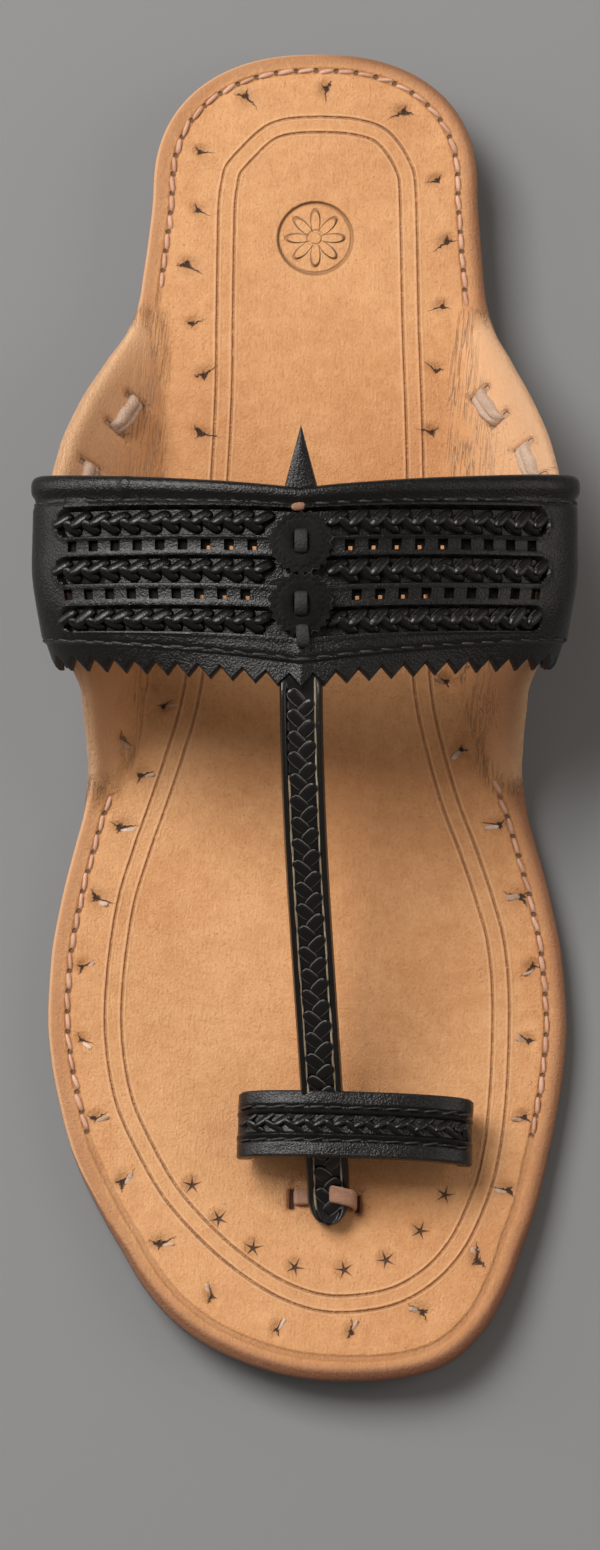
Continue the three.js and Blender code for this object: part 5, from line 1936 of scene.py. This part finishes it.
@dataclass
class Rosettes:
    """Two scalloped leather discs on the band, each held by a knotted lace."""

    finishes: Finishes
    shape: BandShape
    rows: Sequence[float] = (0.28, 0.58)
    size: float = 13.0
    wall: float = 1.4
    teeth: int = 22
    tooth: float = 0.7

    def build(self) -> list[bpy.types.Object]:
        """Makes both rosettes with their knots, the band's knot and a bit of lace.

        Returns:
            The pieces.
        """
        pieces = []
        finishes = self.finishes
        for i, name in enumerate(("rosette_rear", "rosette_front")):
            stance = self._stance(i)
            disc = stance.placed(self._disc())
            piece = make_piece(name + "_disc", disc, Slot.BLACK, finishes.suede, 50)
            knot = stance.placed(self._knot())
            pieces += [piece, make_piece(name + "_knot", knot, Slot.BLACK, finishes.knot)]
            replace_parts(piece, name)
        extra = self.shape.stance(np.array([0.3]), 0.735, 2.1).placed(self._knot())
        pieces.append(make_piece("band_knot", extra, Slot.BLACK, finishes.knot))
        tuck = self.shape.stance(np.array([-0.5]), 0.1, 2.0).turned(0.25)
        bit = tuck.placed(pod(2.9, 1.7, 0.75, 0.6, 3, 2.6, 0.6))
        pieces.append(make_piece("rosette_lace_bit", bit, Slot.LACE, finishes.lace))
        return pieces

    def _stance(self, number: int) -> Stance:
        """Where a rosette lies: level with the band, the front one tipped back over the rear.

        Args:
            number: 0 for the rear one, 1 for the front one.

        Returns:
            Its one place.
        """
        shape, zero, w = self.shape, np.zeros(1), self.rows[number]
        along = np.array([[1.0, 0.0, 0.0]])
        across = unit(shape.point(zero, w + 0.2, 0.0) - shape.point(zero, w - 0.2, 0.0))
        apart = (self.rows[1] - self.rows[0]) * shape.width
        lean = number * (self.wall + 0.6) / apart
        across = unit(across + np.cross(along, across) * lean)
        out = -np.cross(along, across)
        origin = shape.point(zero, w, shape.wall) + out * (0.3 + lean * self.size / 2)
        return Stance(origin, along, across, out)

    def _disc(self) -> Form:
        """Rings from the hole to the serrated rim: a low dome with a pressed ring, and its back."""
        around = self.teeth * 10
        angle = np.linspace(0, 2 * np.pi, around, endpoint=False)[None, :]
        saw = (angle * self.teeth / (2 * np.pi)) % 1
        tooth = np.abs(saw - 0.5) * 2 + 0.16 * np.sin(angle * 7) + 0.14 * np.sin(angle * 3 + 1)
        rim = self.size / 2 - self.tooth * tooth
        hole = 1.45 + 0.95 * np.sin(angle) ** 2
        share = [0, 0.04, 0.12, 0.24, 0.38, 0.52, 0.64, 0.72, 0.8, 0.87, 0.93, 0.97, 1.0]
        share = np.array(share)[:, None]
        r = hole + (rim - hole) * share
        petals = 0.08 * np.cos(angle * self.teeth) * smoothstep(0.6, 0.95, share)
        z = self.wall - 0.35 * smoothstep(0.5, 1.0, share) - 0.22 * bell(share - 0.72, 0.06)
        z = z - 0.5 * bell(share, 0.05) + petals + 0.08 * np.sin(angle * 3 + 1) * share
        top, low = (stack(r * np.cos(angle), r * np.sin(angle), height) for height in (z, 0.0))
        points = np.concatenate([top, low[::-1]])
        fray = 0.6 * smoothstep(0.9, 1.0, share) * (0.6 + 0.5 * np.sin(angle * 5 + 2))
        raw = np.concatenate([fray, np.ones_like(fray)]).ravel()
        faces = grid_faces(len(points), around, True, True)
        return Form(points.reshape(-1, 3), faces, {"raw": raw})

    def _knot(self) -> Form:
        """A lace loop: a flat strap carried over half an ellipse that stands in the hole."""
        turn = np.linspace(-0.25, np.pi + 0.25, 22)[:, None]
        round_it = np.linspace(0, 2 * np.pi, 12, endpoint=False)[None, :]
        cx, cz = (powered(wave(round_it), 2 / 2.6) for wave in (np.cos, np.sin))
        y = (2.15 + 0.38 * cz) * np.cos(turn) - 0.2
        z = self.wall * 0.8 + (1.2 + 0.38 * cz) * np.sin(turn)
        points = stack(cx * 1.3 + 0 * turn, y, z)
        first, last = (np.tile(ring.mean(0), (1, 12, 1)) for ring in (points[0], points[-1]))
        points = np.concatenate([first, points, last])
        return Form(points.reshape(-1, 3), grid_faces(len(points), 12, ring=True))


@dataclass
class ToeStrap:
    """The strap from the band to the toe: raised glossy edges, a plait and two cream threads."""

    finishes: Finishes
    band: BandShape
    width: float = 8.6
    wall: float = 2.2
    tail: float = 13.0
    tail_width: float = 6.9
    toe_shift: float = 4.3
    point: float = 6.5
    loop_at: float = 0.821
    loop_height: float = 16.5
    loop_wall: float = 2.4
    loop_width: float = 13.4
    lace_at: float = 0.867
    end_at: float = 0.889
    lace_wall: float = 1.1
    join: float = 0.35
    plait_pitch: float = 4.0
    thread_pitch: float = 4.7

    def __post_init__(self) -> None:
        """Works out its top line from the band, over the loop's inside, to the toe."""
        self.front, self.back = (self.band.point(0.0, w, 0.0) for w in (1.0, 0.0))
        stations = (self.loop_at, self.end_at, self.lace_at)
        self.loop_y, self.end_y, self.lace_y = (float(LAST.place(at)) for at in stations)
        under_loop = float(LAST.top(self.loop_at)) + self.loop_height - self.loop_wall + self.join
        at_toe = float(LAST.top(self.end_at)) + self.lace_wall + 0.6 + self.wall
        start, stop = self.back[2] + self.join, self.front[2] + self.join
        rows = [(-self.back[1] - self.tail, start + 1.2), (-self.back[1], start)]
        falls = ((0.0, 0.0), (0.18, 0.12), (0.42, 0.38), (0.72, 0.72))
        rows += self._falls(falls, self.front[1], stop, self.loop_y, under_loop)
        falls = ((0.0, 0.0), (0.35, 0.42), (0.66, 0.86), (0.84, 0.97), (1.0, 1.0))
        rows += self._falls(falls, self.loop_y, under_loop, self.end_y, at_toe)
        self.top = SmoothTable(rows)
        line = [(-self.front[1], self.band.middle), (-self.loop_y, self.toe_shift - 0.9)]
        self.line = SmoothTable([*line, (-self.lace_y, self.toe_shift)])

    @staticmethod
    def _falls(falls: Sequence[Pair], y0: float, z0: float, y1: float, z1: float) -> list[Pair]:
        """Rows at shares of the way between two points."""
        return [(-(y0 + (y1 - y0) * a), z0 + (z1 - z0) * f) for a, f in falls]

    def spot(self, y: Array, c: Array, lift: Array) -> Array:
        """Points of the strap.

        Args:
            y: place along the shoe.
            c: across it, from -1 to 1.
            lift: over its plain top face, square to its fall.

        Returns:
            Points in space.
        """
        y, c, lift = np.broadcast_arrays(np.asarray(y, float), c, lift)
        tail = np.clip((self.back[1] + self.tail - y) / self.tail, 0.0, 1)
        toe = np.clip((y - self.end_y) / self.point, 0, 1)
        narrow = smoothstep(self.front[1], self.back[1], y)
        full = (self.width + (self.tail_width - self.width) * narrow) / 2
        half = full * tail * np.sqrt(np.clip(1 - (1 - toe) ** 2.2, 0.0, 1))
        slope = self.top(-y + 0.5) - self.top(-y - 0.5)
        long = np.hypot(1, slope)
        dip = 1.9 * bell(y - self.loop_y - 5.0, 6.5)
        x, z = self.line(-y) + c * half, self.top(-y) - dip + lift / long
        return stack(x, y + slope / long * lift, z)

    def stance(self, y: Array, c: Array, lift: Array) -> Stance:
        """Places on the strap that face the toe, the inner side and outwards."""
        along = unit(self.spot(y - 0.4, c, lift) - self.spot(y + 0.4, c, lift))
        out = unit(np.cross(along, np.array([1.0, 0.0, 0.0])))
        return Stance(self.spot(y, c, lift), along, np.cross(out, along), out)

    def _profile(self, c: Array) -> Array:
        """Height across it: a rounded roll at each edge, a thread groove and a sunk middle."""
        edge = np.abs(c)
        sunk = 0.12 * bell(edge - 0.63, 0.05) + 0.35 * (1 - smoothstep(0.55, 0.66, edge))
        return 0.5 * bulge(edge - 0.84, 0.16) - sunk

    def build(self) -> list[bpy.types.Object]:
        """Makes the strap, its tail, its plait and its threads.

        Returns:
            The pieces, the strap first.
        """
        front, back, finishes = self.end_y + self.point, self.back[1], self.finishes
        end = self.end_y + self.point * np.cos(np.linspace(0, np.pi / 2, 16))[1:]
        strap = self._sheet(np.concatenate([np.linspace(back - 6, front, 220), end]))
        tail = self._sheet(np.linspace(back + self.tail - 0.05, back - 5.8, 60))
        return [
            make_piece("toe_strap", strap, Slot.BLACK, finishes.gloss, 50),
            make_piece("strap_tail", tail, Slot.BLACK, finishes.band, 50),
            make_piece("strap_plait", self._plait(), Slot.BLACK, finishes.gloss),
            make_piece("strap_threads", self._threads(), Slot.BLACK, finishes.cream_thread),
        ]

    def _sheet(self, y: Array) -> Form:
        """A stretch of the strap as a thick sheet, from the first y to the last.

        Args:
            y: places along the shoe.

        Returns:
            The sheet.
        """
        yy, cc = np.meshgrid(y, powered(np.linspace(-1, 1, 41), 0.8), indexing="ij")
        plain = 1 - smoothstep(self.front[1] - 1, self.front[1] + 3, yy)
        lift = self._profile(cc) * plain + (1 - plain) * 0.3 * (1 - cc**2)
        lift = lift - 0.7 * rounded(np.abs(cc) - 0.94, 0.06)
        return Form.sheet(self.spot(yy, cc, lift), self.spot(yy, cc * 0.97, -self.wall))

    def _spans(self) -> list[Pair]:
        """The stretches that the plait shows in."""
        return [
            (self.front[1] - 1.5, self.loop_y + self.loop_width / 2 - 1),
            (self.loop_y - self.loop_width / 2 + 1.5, self.end_y + 3.6),
        ]

    def _plait(self) -> Form:
        """Flat glossy pads in two files that point to the toe."""
        pieces, pitch = [], self.plait_pitch
        # Both long edges of each pad are pale, with a painted highlight
        pad = pod(pitch * 1.1, 2.6, 0.55, 0.6, 3.2, 2.8, 0.8)
        for (start, stop), file in product(self._spans(), (-1, 1)):
            y = np.arange(start, stop, -pitch) - (0.5 * pitch if file > 0 else 0)
            stance = self.stance(y, file * 0.23, -0.2).turned(-file * 0.78)
            pieces.append(stance.placed(pad, 1 + 0.04 * jitter(21 + file, len(y))))
        return Form.together(pieces)

    def _threads(self) -> Form:
        """Cream stitches end to end in both grooves, on the outer side only near the toe."""
        pieces = []
        for (start, stop), side in product(self._spans(), (-1, 1)):
            y = np.arange(start + 1, stop - 1, -self.thread_pitch)
            y = y[(side > 0) | (y < -24)]
            wave = jitter(31 + side, len(y))
            stance = self.stance(y, side * 0.64 + 0.006 * wave[:, 0], 0.14)
            scale = 1 + wave * [0.02, 0.15, 0.0]
            pieces.append(stance.turned(0.02 * wave[:, 1]).placed(thread_bit(6.7, 0.42), scale))
        return Form.together(pieces)


@dataclass
class ToeLoop:
    """The loop over the toes: a thick layered strap with a plait between two ridges."""

    finishes: Finishes
    span: float = 47.8
    width: float = 13.4
    wall: float = 2.4
    height: float = 16.5
    shift: float = 9.2
    turn: float = 2.0
    lean: float = 18.0
    at: float = 0.821
    arch: float = 0.68
    knee: float = 0.45
    squareness: float = 0.8
    plait_pitch: float = 4.1
    stitch_row: float = 3.35
    stitch_pitch: float = 3.9

    def __post_init__(self) -> None:
        """Lays the section out by length: an arch, then a straight leg that leans in."""
        share = np.linspace(0, 1, 800)
        half, knee = self.span / 2, self.height * self.knee
        down = np.clip((share - self.arch) / (1 - self.arch), 0, 1) * (knee + LAST.insole)
        angle = np.clip(share / self.arch, 0, 1) * np.pi / 2
        x = half * np.sin(angle) ** self.squareness - down * math.tan(math.radians(self.lean))
        z = knee + (self.height - knee) * np.cos(angle).clip(0) ** self.squareness - down
        self.section = (x, z)
        self.run = run_along(np.stack(self.section, -1))
        self.full = float(self.run[-1])
        self.bent = float(np.interp(self.arch, share, self.run))

    def _outline(self, place: Array) -> Array:
        """The section's outer line, x then z, at a signed distance."""
        x, z = (np.interp(np.abs(place), self.run, row) for row in self.section)
        return np.stack([x * np.where(place < 0, -1, 1), z])

    def spot(self, d: Array, f: Array, lift: Array) -> Array:
        """Points of the loop.

        Args:
            d: distance along it from its middle, negative towards the outer leg.
            f: across it, from -1 at the rear to 1 at the front.
            lift: over its outer face.

        Returns:
            Points in space.
        """
        d, f, lift = np.broadcast_arrays(np.asarray(d, float), f, lift)
        ahead, behind = np.minimum(d + 0.35, self.full), np.maximum(d - 0.35, -self.full)
        dx, dz = self._outline(ahead) - self._outline(behind)
        off = np.stack([-dz, dx]) / np.hypot(dx, dz) * lift
        x, z = self._outline(d) + off
        low = smoothstep(self.bent, self.full, np.abs(d))
        y = -f * self.width / 2 * (1 - 0.36 * low) + 1.3 * low
        x, y = local_to(x, y, math.radians(self.turn))
        x = x + float(LAST.spine(self.at)) + self.shift
        return stack(x, y + float(LAST.place(self.at)), z + float(LAST.top(self.at)))

    def stance(self, d: Array, f: Array, lift: Array) -> Stance:
        """Places on the loop that face its inner leg, the heel and outwards."""
        return Stance.on(self.spot, d, f, lift, 0.05)

    def _profile(self, d: Array, f: Array) -> Array:
        """Height across it: rounded edges, sunk stitch rows, two ridges and the plait's trough.

        Args:
            d: places along the loop.
            f: places across it, from -1 to 1.

        Returns:
            Heights over its plain outer face.
        """
        half = self.width / 2
        m = np.abs(f) * half
        fade = 1 - 0.8 * smoothstep(self.bent * 0.82, self.bent * 1.02, np.abs(d))
        ridge = 0.32 * bell(m - 2.35, 0.30) - 0.36 * bell(m - self.stitch_row, 0.4)
        h = (ridge - 0.5 * (1 - smoothstep(1.7, 2.15, m))) * fade
        h = h - 0.4 * rounded(m - half + 0.35, 0.35)
        return h + 0.08 * np.sin(d * 0.4 + 1) * np.sin(m * 0.8)

    def build(self) -> list[bpy.types.Object]:
        """Makes the loop, its plait and its stitches.

        Returns:
            The pieces, the loop first.
        """
        d, f = np.linspace(-self.full, self.full, 190), powered(np.linspace(-1, 1, 61), 0.85)
        dd, ff = np.meshgrid(d, f, indexing="ij")
        upper, lower = self.spot(dd, ff, self._profile(dd, ff)), self.spot(dd, ff, -self.wall)
        raw = np.concatenate([smoothstep(0.9, 1.0, np.abs(ff)).ravel(), np.ones(dd.size)])
        loop, finishes = Form.sheet(upper, lower, raw=raw), self.finishes
        return [
            make_piece("toe_loop", loop, Slot.BLACK, finishes.band, 50),
            make_piece("loop_plait", self._plait(), Slot.BLACK, finishes.plait),
            make_piece("loop_stitches", self._stitches(), Slot.BLACK, finishes.dark_thread),
        ]

    def _plait(self) -> Form:
        """Pads in two files along the trough."""
        pieces, pitch = [], self.plait_pitch
        for file in (-1, 1):
            # One long edge of each pad gets a painted highlight
            pad = pod(pitch * 1.24, 1.75, 0.62, 0.5, 2.6, 2.4, 0.9, -file)
            d = np.arange(-self.full * 0.58, self.full * 0.60, pitch)
            d = d + (0.5 if file > 0 else 0) * pitch
            wave = jitter(41 + file, len(d))
            stance = self.stance(d, file * 0.11, -0.42 - 0.1 * file)
            stance = stance.turned(-file * 0.66 + 0.04 * wave[:, 0]).banked(-file * 0.38)
            pieces.append(stance.placed(pad, 1 + 0.05 * wave))
        return Form.together(pieces)

    def _stitches(self) -> Form:
        """A row of stitches outside each ridge."""
        pieces, reach = [], self.full * 0.6
        for side in (-1, 1):
            d = np.arange(-reach, reach, self.stitch_pitch)
            wave = jitter(51 + side, len(d))
            stance = self.stance(d, side * self.stitch_row / (self.width / 2), -0.16)
            stance = stance.turned(0.12 + 0.08 * wave[:, 0])
            pieces.append(stance.placed(thread_bit(3.4, 0.6), 1 + 0.1 * wave))
        return Form.together(pieces)


@dataclass
class Laces:
    """The natural lace at the toe and those on the ears."""

    finishes: Finishes
    strap: ToeStrap
    toe_width: float = 3.3
    wall: float = 1.1
    ear_width: float = 4.5

    def build(self) -> list[bpy.types.Object]:
        """Makes the laces.

        Returns:
            The pieces.
        """
        toe = make_piece("toe_lace_loop", self._toe(), Slot.LACE, self.finishes.lace, 60)
        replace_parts(toe, "toe_lace")
        pieces = [toe]
        for lace in EAR_LACES:
            name, finish = f"ear_lace_{lace.name}", self.finishes.ear_lace
            pieces.append(make_piece(name + "_strip", self._ear(lace), Slot.LACE, finish, 60))
            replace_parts(pieces[-1], name)
        return pieces

    def _toe(self) -> Form:
        """A flat strip that comes up, passes under half the strap, over the rest, and goes down.

        Each of its lines is a smooth curve through the same ten places in x and z.

        Returns:
            The strip.
        """
        strap, half = self.strap, self.wall / 2
        centre = float(strap.line(-strap.lace_y))
        left, right = centre - strap.width * 0.76, centre + strap.width * 0.60
        middle = centre + strap.width * 0.08
        across = np.linspace(-1, 1, 11)
        y = strap.lace_y + across * self.toe_width / 2
        low = LAST.top(LAST.station(y)) + 0.3 + half
        high, down = strap.top(-y) + 0.25 + half, low - 2.2
        places = (
            (left, down), (left, low - 0.2), (left + 0.8, low + 0.2), (middle - 0.8, low),
            (middle, low + 0.7), (middle, high - 0.6), (middle + 0.9, high),
            (right - 1.6, high - 0.1), (right, high - 1.6), (right, down),
        )
        path = np.stack([np.stack([np.full_like(y, x), z], -1) for x, z in places])
        t = np.linspace(0, len(places) - 1, 70)
        i = np.clip(t.astype(int), 0, len(places) - 2)
        path = np.concatenate([path[:1], path, path[-1:]])
        line = cubic(*(path[i + k] for k in range(4)), (t - i)[:, None, None])
        run = np.gradient(line, axis=0)
        normal = unit(np.stack([-run[..., 1], run[..., 0]], -1))
        thick = half * np.sqrt(np.clip(1 - np.abs(across) ** 6, 0.15, 1))[None, :, None]
        yy = y - 0.22 * np.clip(line[..., 0] - middle, -1.0, 9.0)
        sides = (line + normal * thick, line - normal * thick)
        return Form.sheet(*(stack(side[..., 0], yy, side[..., 1]) for side in sides))

    def _ear(self, lace: EarLace) -> Form:
        """A strip that bulges off the ear between two slits and dives in at both ends.

        Args:
            lace: where it lies.

        Returns:
            The strip.
        """
        s, t = np.meshgrid(np.linspace(-1, 1, 31), np.linspace(-1, 1, 13), indexing="ij")
        narrow = 1 - 0.3 * np.abs(s + 0.15) ** 2.2 + 0.06 * np.sin(7 * s + 3 * lace.at)
        along, across = s * EAR_LACE_LENGTH / 2, t * self.ear_width / 2 * narrow
        swell = (1 - s**6) * (1 - 0.35 * t**4) * (1 - 0.22 * bell(t + 0.2, 0.2))
        return Form.sheet(*(lace.spot(along, across, depth) for depth in (0.5 - 1.97 * swell, 0.6)))


# Studio


@dataclass
class Studio:
    """The floor, the lights and the camera."""

    distance: float = 1200.0
    elevation: float = 78.0
    azimuth: float = 2.0
    target: tuple[float, float, float] = (-1.5, -15.0, 10.0)
    lens: float = 134.9
    floor_half: float = 1600.0
    floor_colour: Colour = (0.250, 0.254, 0.259)
    air_colour: Colour = (1.0, 0.93, 0.87)
    air_strength: float = 0.20

    def build(self, effects: Effects) -> None:
        """Sets up everything round the shoe.

        Args:
            effects: the shared node groups.
        """
        self._camera()
        self._lights()
        self._floor(effects)
        world = bpy.data.worlds.new("studio_air")
        world.use_nodes = True
        air = world.node_tree.nodes["Background"].inputs
        air[0].default_value = (*self.air_colour, 1.0)
        air[1].default_value = self.air_strength
        bpy.context.scene.world = world
        bpy.context.scene.view_settings.view_transform = "Standard"

    def _put(self, name: str, data: bpy.types.ID, place: Array, back: Array) -> bpy.types.Object:
        """Adds a camera or a lamp that looks away from back, with the heel's side up.

        Args:
            name: its name.
            data: its camera or light data.
            place: where it stands, in metres.
            back: the direction behind it.

        Returns:
            The new object.
        """
        thing = bpy.data.objects.new(name, data)
        bpy.context.scene.collection.objects.link(thing)
        right = unit(np.cross(np.array([0.0, 1.0, 0.0]), back))
        turn = Matrix(np.stack([right, np.cross(back, right), back], -1).tolist()).to_4x4()
        thing.matrix_world = Matrix.Translation(place) @ turn
        return thing

    def _camera(self) -> None:
        """Looks down from over the toe side, with the heel at the top of the picture."""
        a, e = math.radians(self.azimuth), math.radians(self.elevation)
        back = np.array([math.sin(a) * math.cos(e), -math.cos(a) * math.cos(e), math.sin(e)])
        data = bpy.data.cameras.new("camera")
        data.lens, data.sensor_width, data.sensor_fit = self.lens, 36.0, "AUTO"
        data.clip_start, data.clip_end = 0.05, 20.0
        place = (np.array(self.target) + back * self.distance) * MM
        bpy.context.scene.camera = self._put("camera", data, place.tolist(), back)

    def _lights(self) -> None:
        """A broad key over the heel's outer side, a weak fill opposite, a low edge light."""
        cool, warm = (1.0, 0.985, 0.965), (1.0, 0.91, 0.83)
        for name, place, size, power, tint in (
            ("key_light", (-0.78, 0.66, 1.48), 0.95, 31.0, cool),
            ("fill_light", (1.25, 0.1, 0.9), 1.0, 4.8, warm),
            ("edge_light", (-1.45, 0.35, 0.55), 0.8, 5.0, cool),
        ):
            data = bpy.data.lights.new(name, "AREA")
            data.size, data.energy, data.color = size, power, tint
            self._put(name, data, place, unit(np.array(place) - np.array([0.0, 0.0, 0.02])))

    def _floor(self, effects: Effects) -> None:
        """A plain pale floor.

        Args:
            effects: the shared node groups.
        """
        h = self.floor_half
        points = stack(np.array([-h, h, h, -h]), np.array([-h, -h, h, h]), -0.05) * MM
        mesh = bpy.data.meshes.new("floor")
        mesh.from_pydata([tuple(p) for p in points.tolist()], [], [(0, 1, 2, 3)])
        material, s = new_material("floor_paper")
        tone = s.use(effects.mottle, Place=s.place(), Broad=0.004, Fleck=0.3)
        low = tuple(c * 0.985 for c in self.floor_colour)
        colour = s.mix(tone, self.floor_colour, low)
        close_material(s, {"Base Color": colour, "Roughness": 0.9}, tone, 0.02)
        mesh.materials.append(material)
        floor = bpy.data.objects.new("floor", mesh)
        bpy.context.scene.collection.objects.link(floor)


def main() -> None:
    """Builds the shoe in order."""
    logging.basicConfig(level=logging.INFO, format="%(name)s: %(message)s")
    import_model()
    finishes = Finishes()
    Studio().build(finishes.effects)
    Footbed(finishes).build()
    Soles(finishes).build()
    band = InstepBand(finishes)
    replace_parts(band.build()[0], "upper")
    Rosettes(finishes, band.shape).build()
    strap = ToeStrap(finishes, band.shape)
    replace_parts(strap.build()[0], "upper")
    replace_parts(ToeLoop(finishes).build()[0], "upper")
    Laces(finishes, strap).build()
    bpy.context.view_layer.update()


if __name__ == "__main__":
    main()
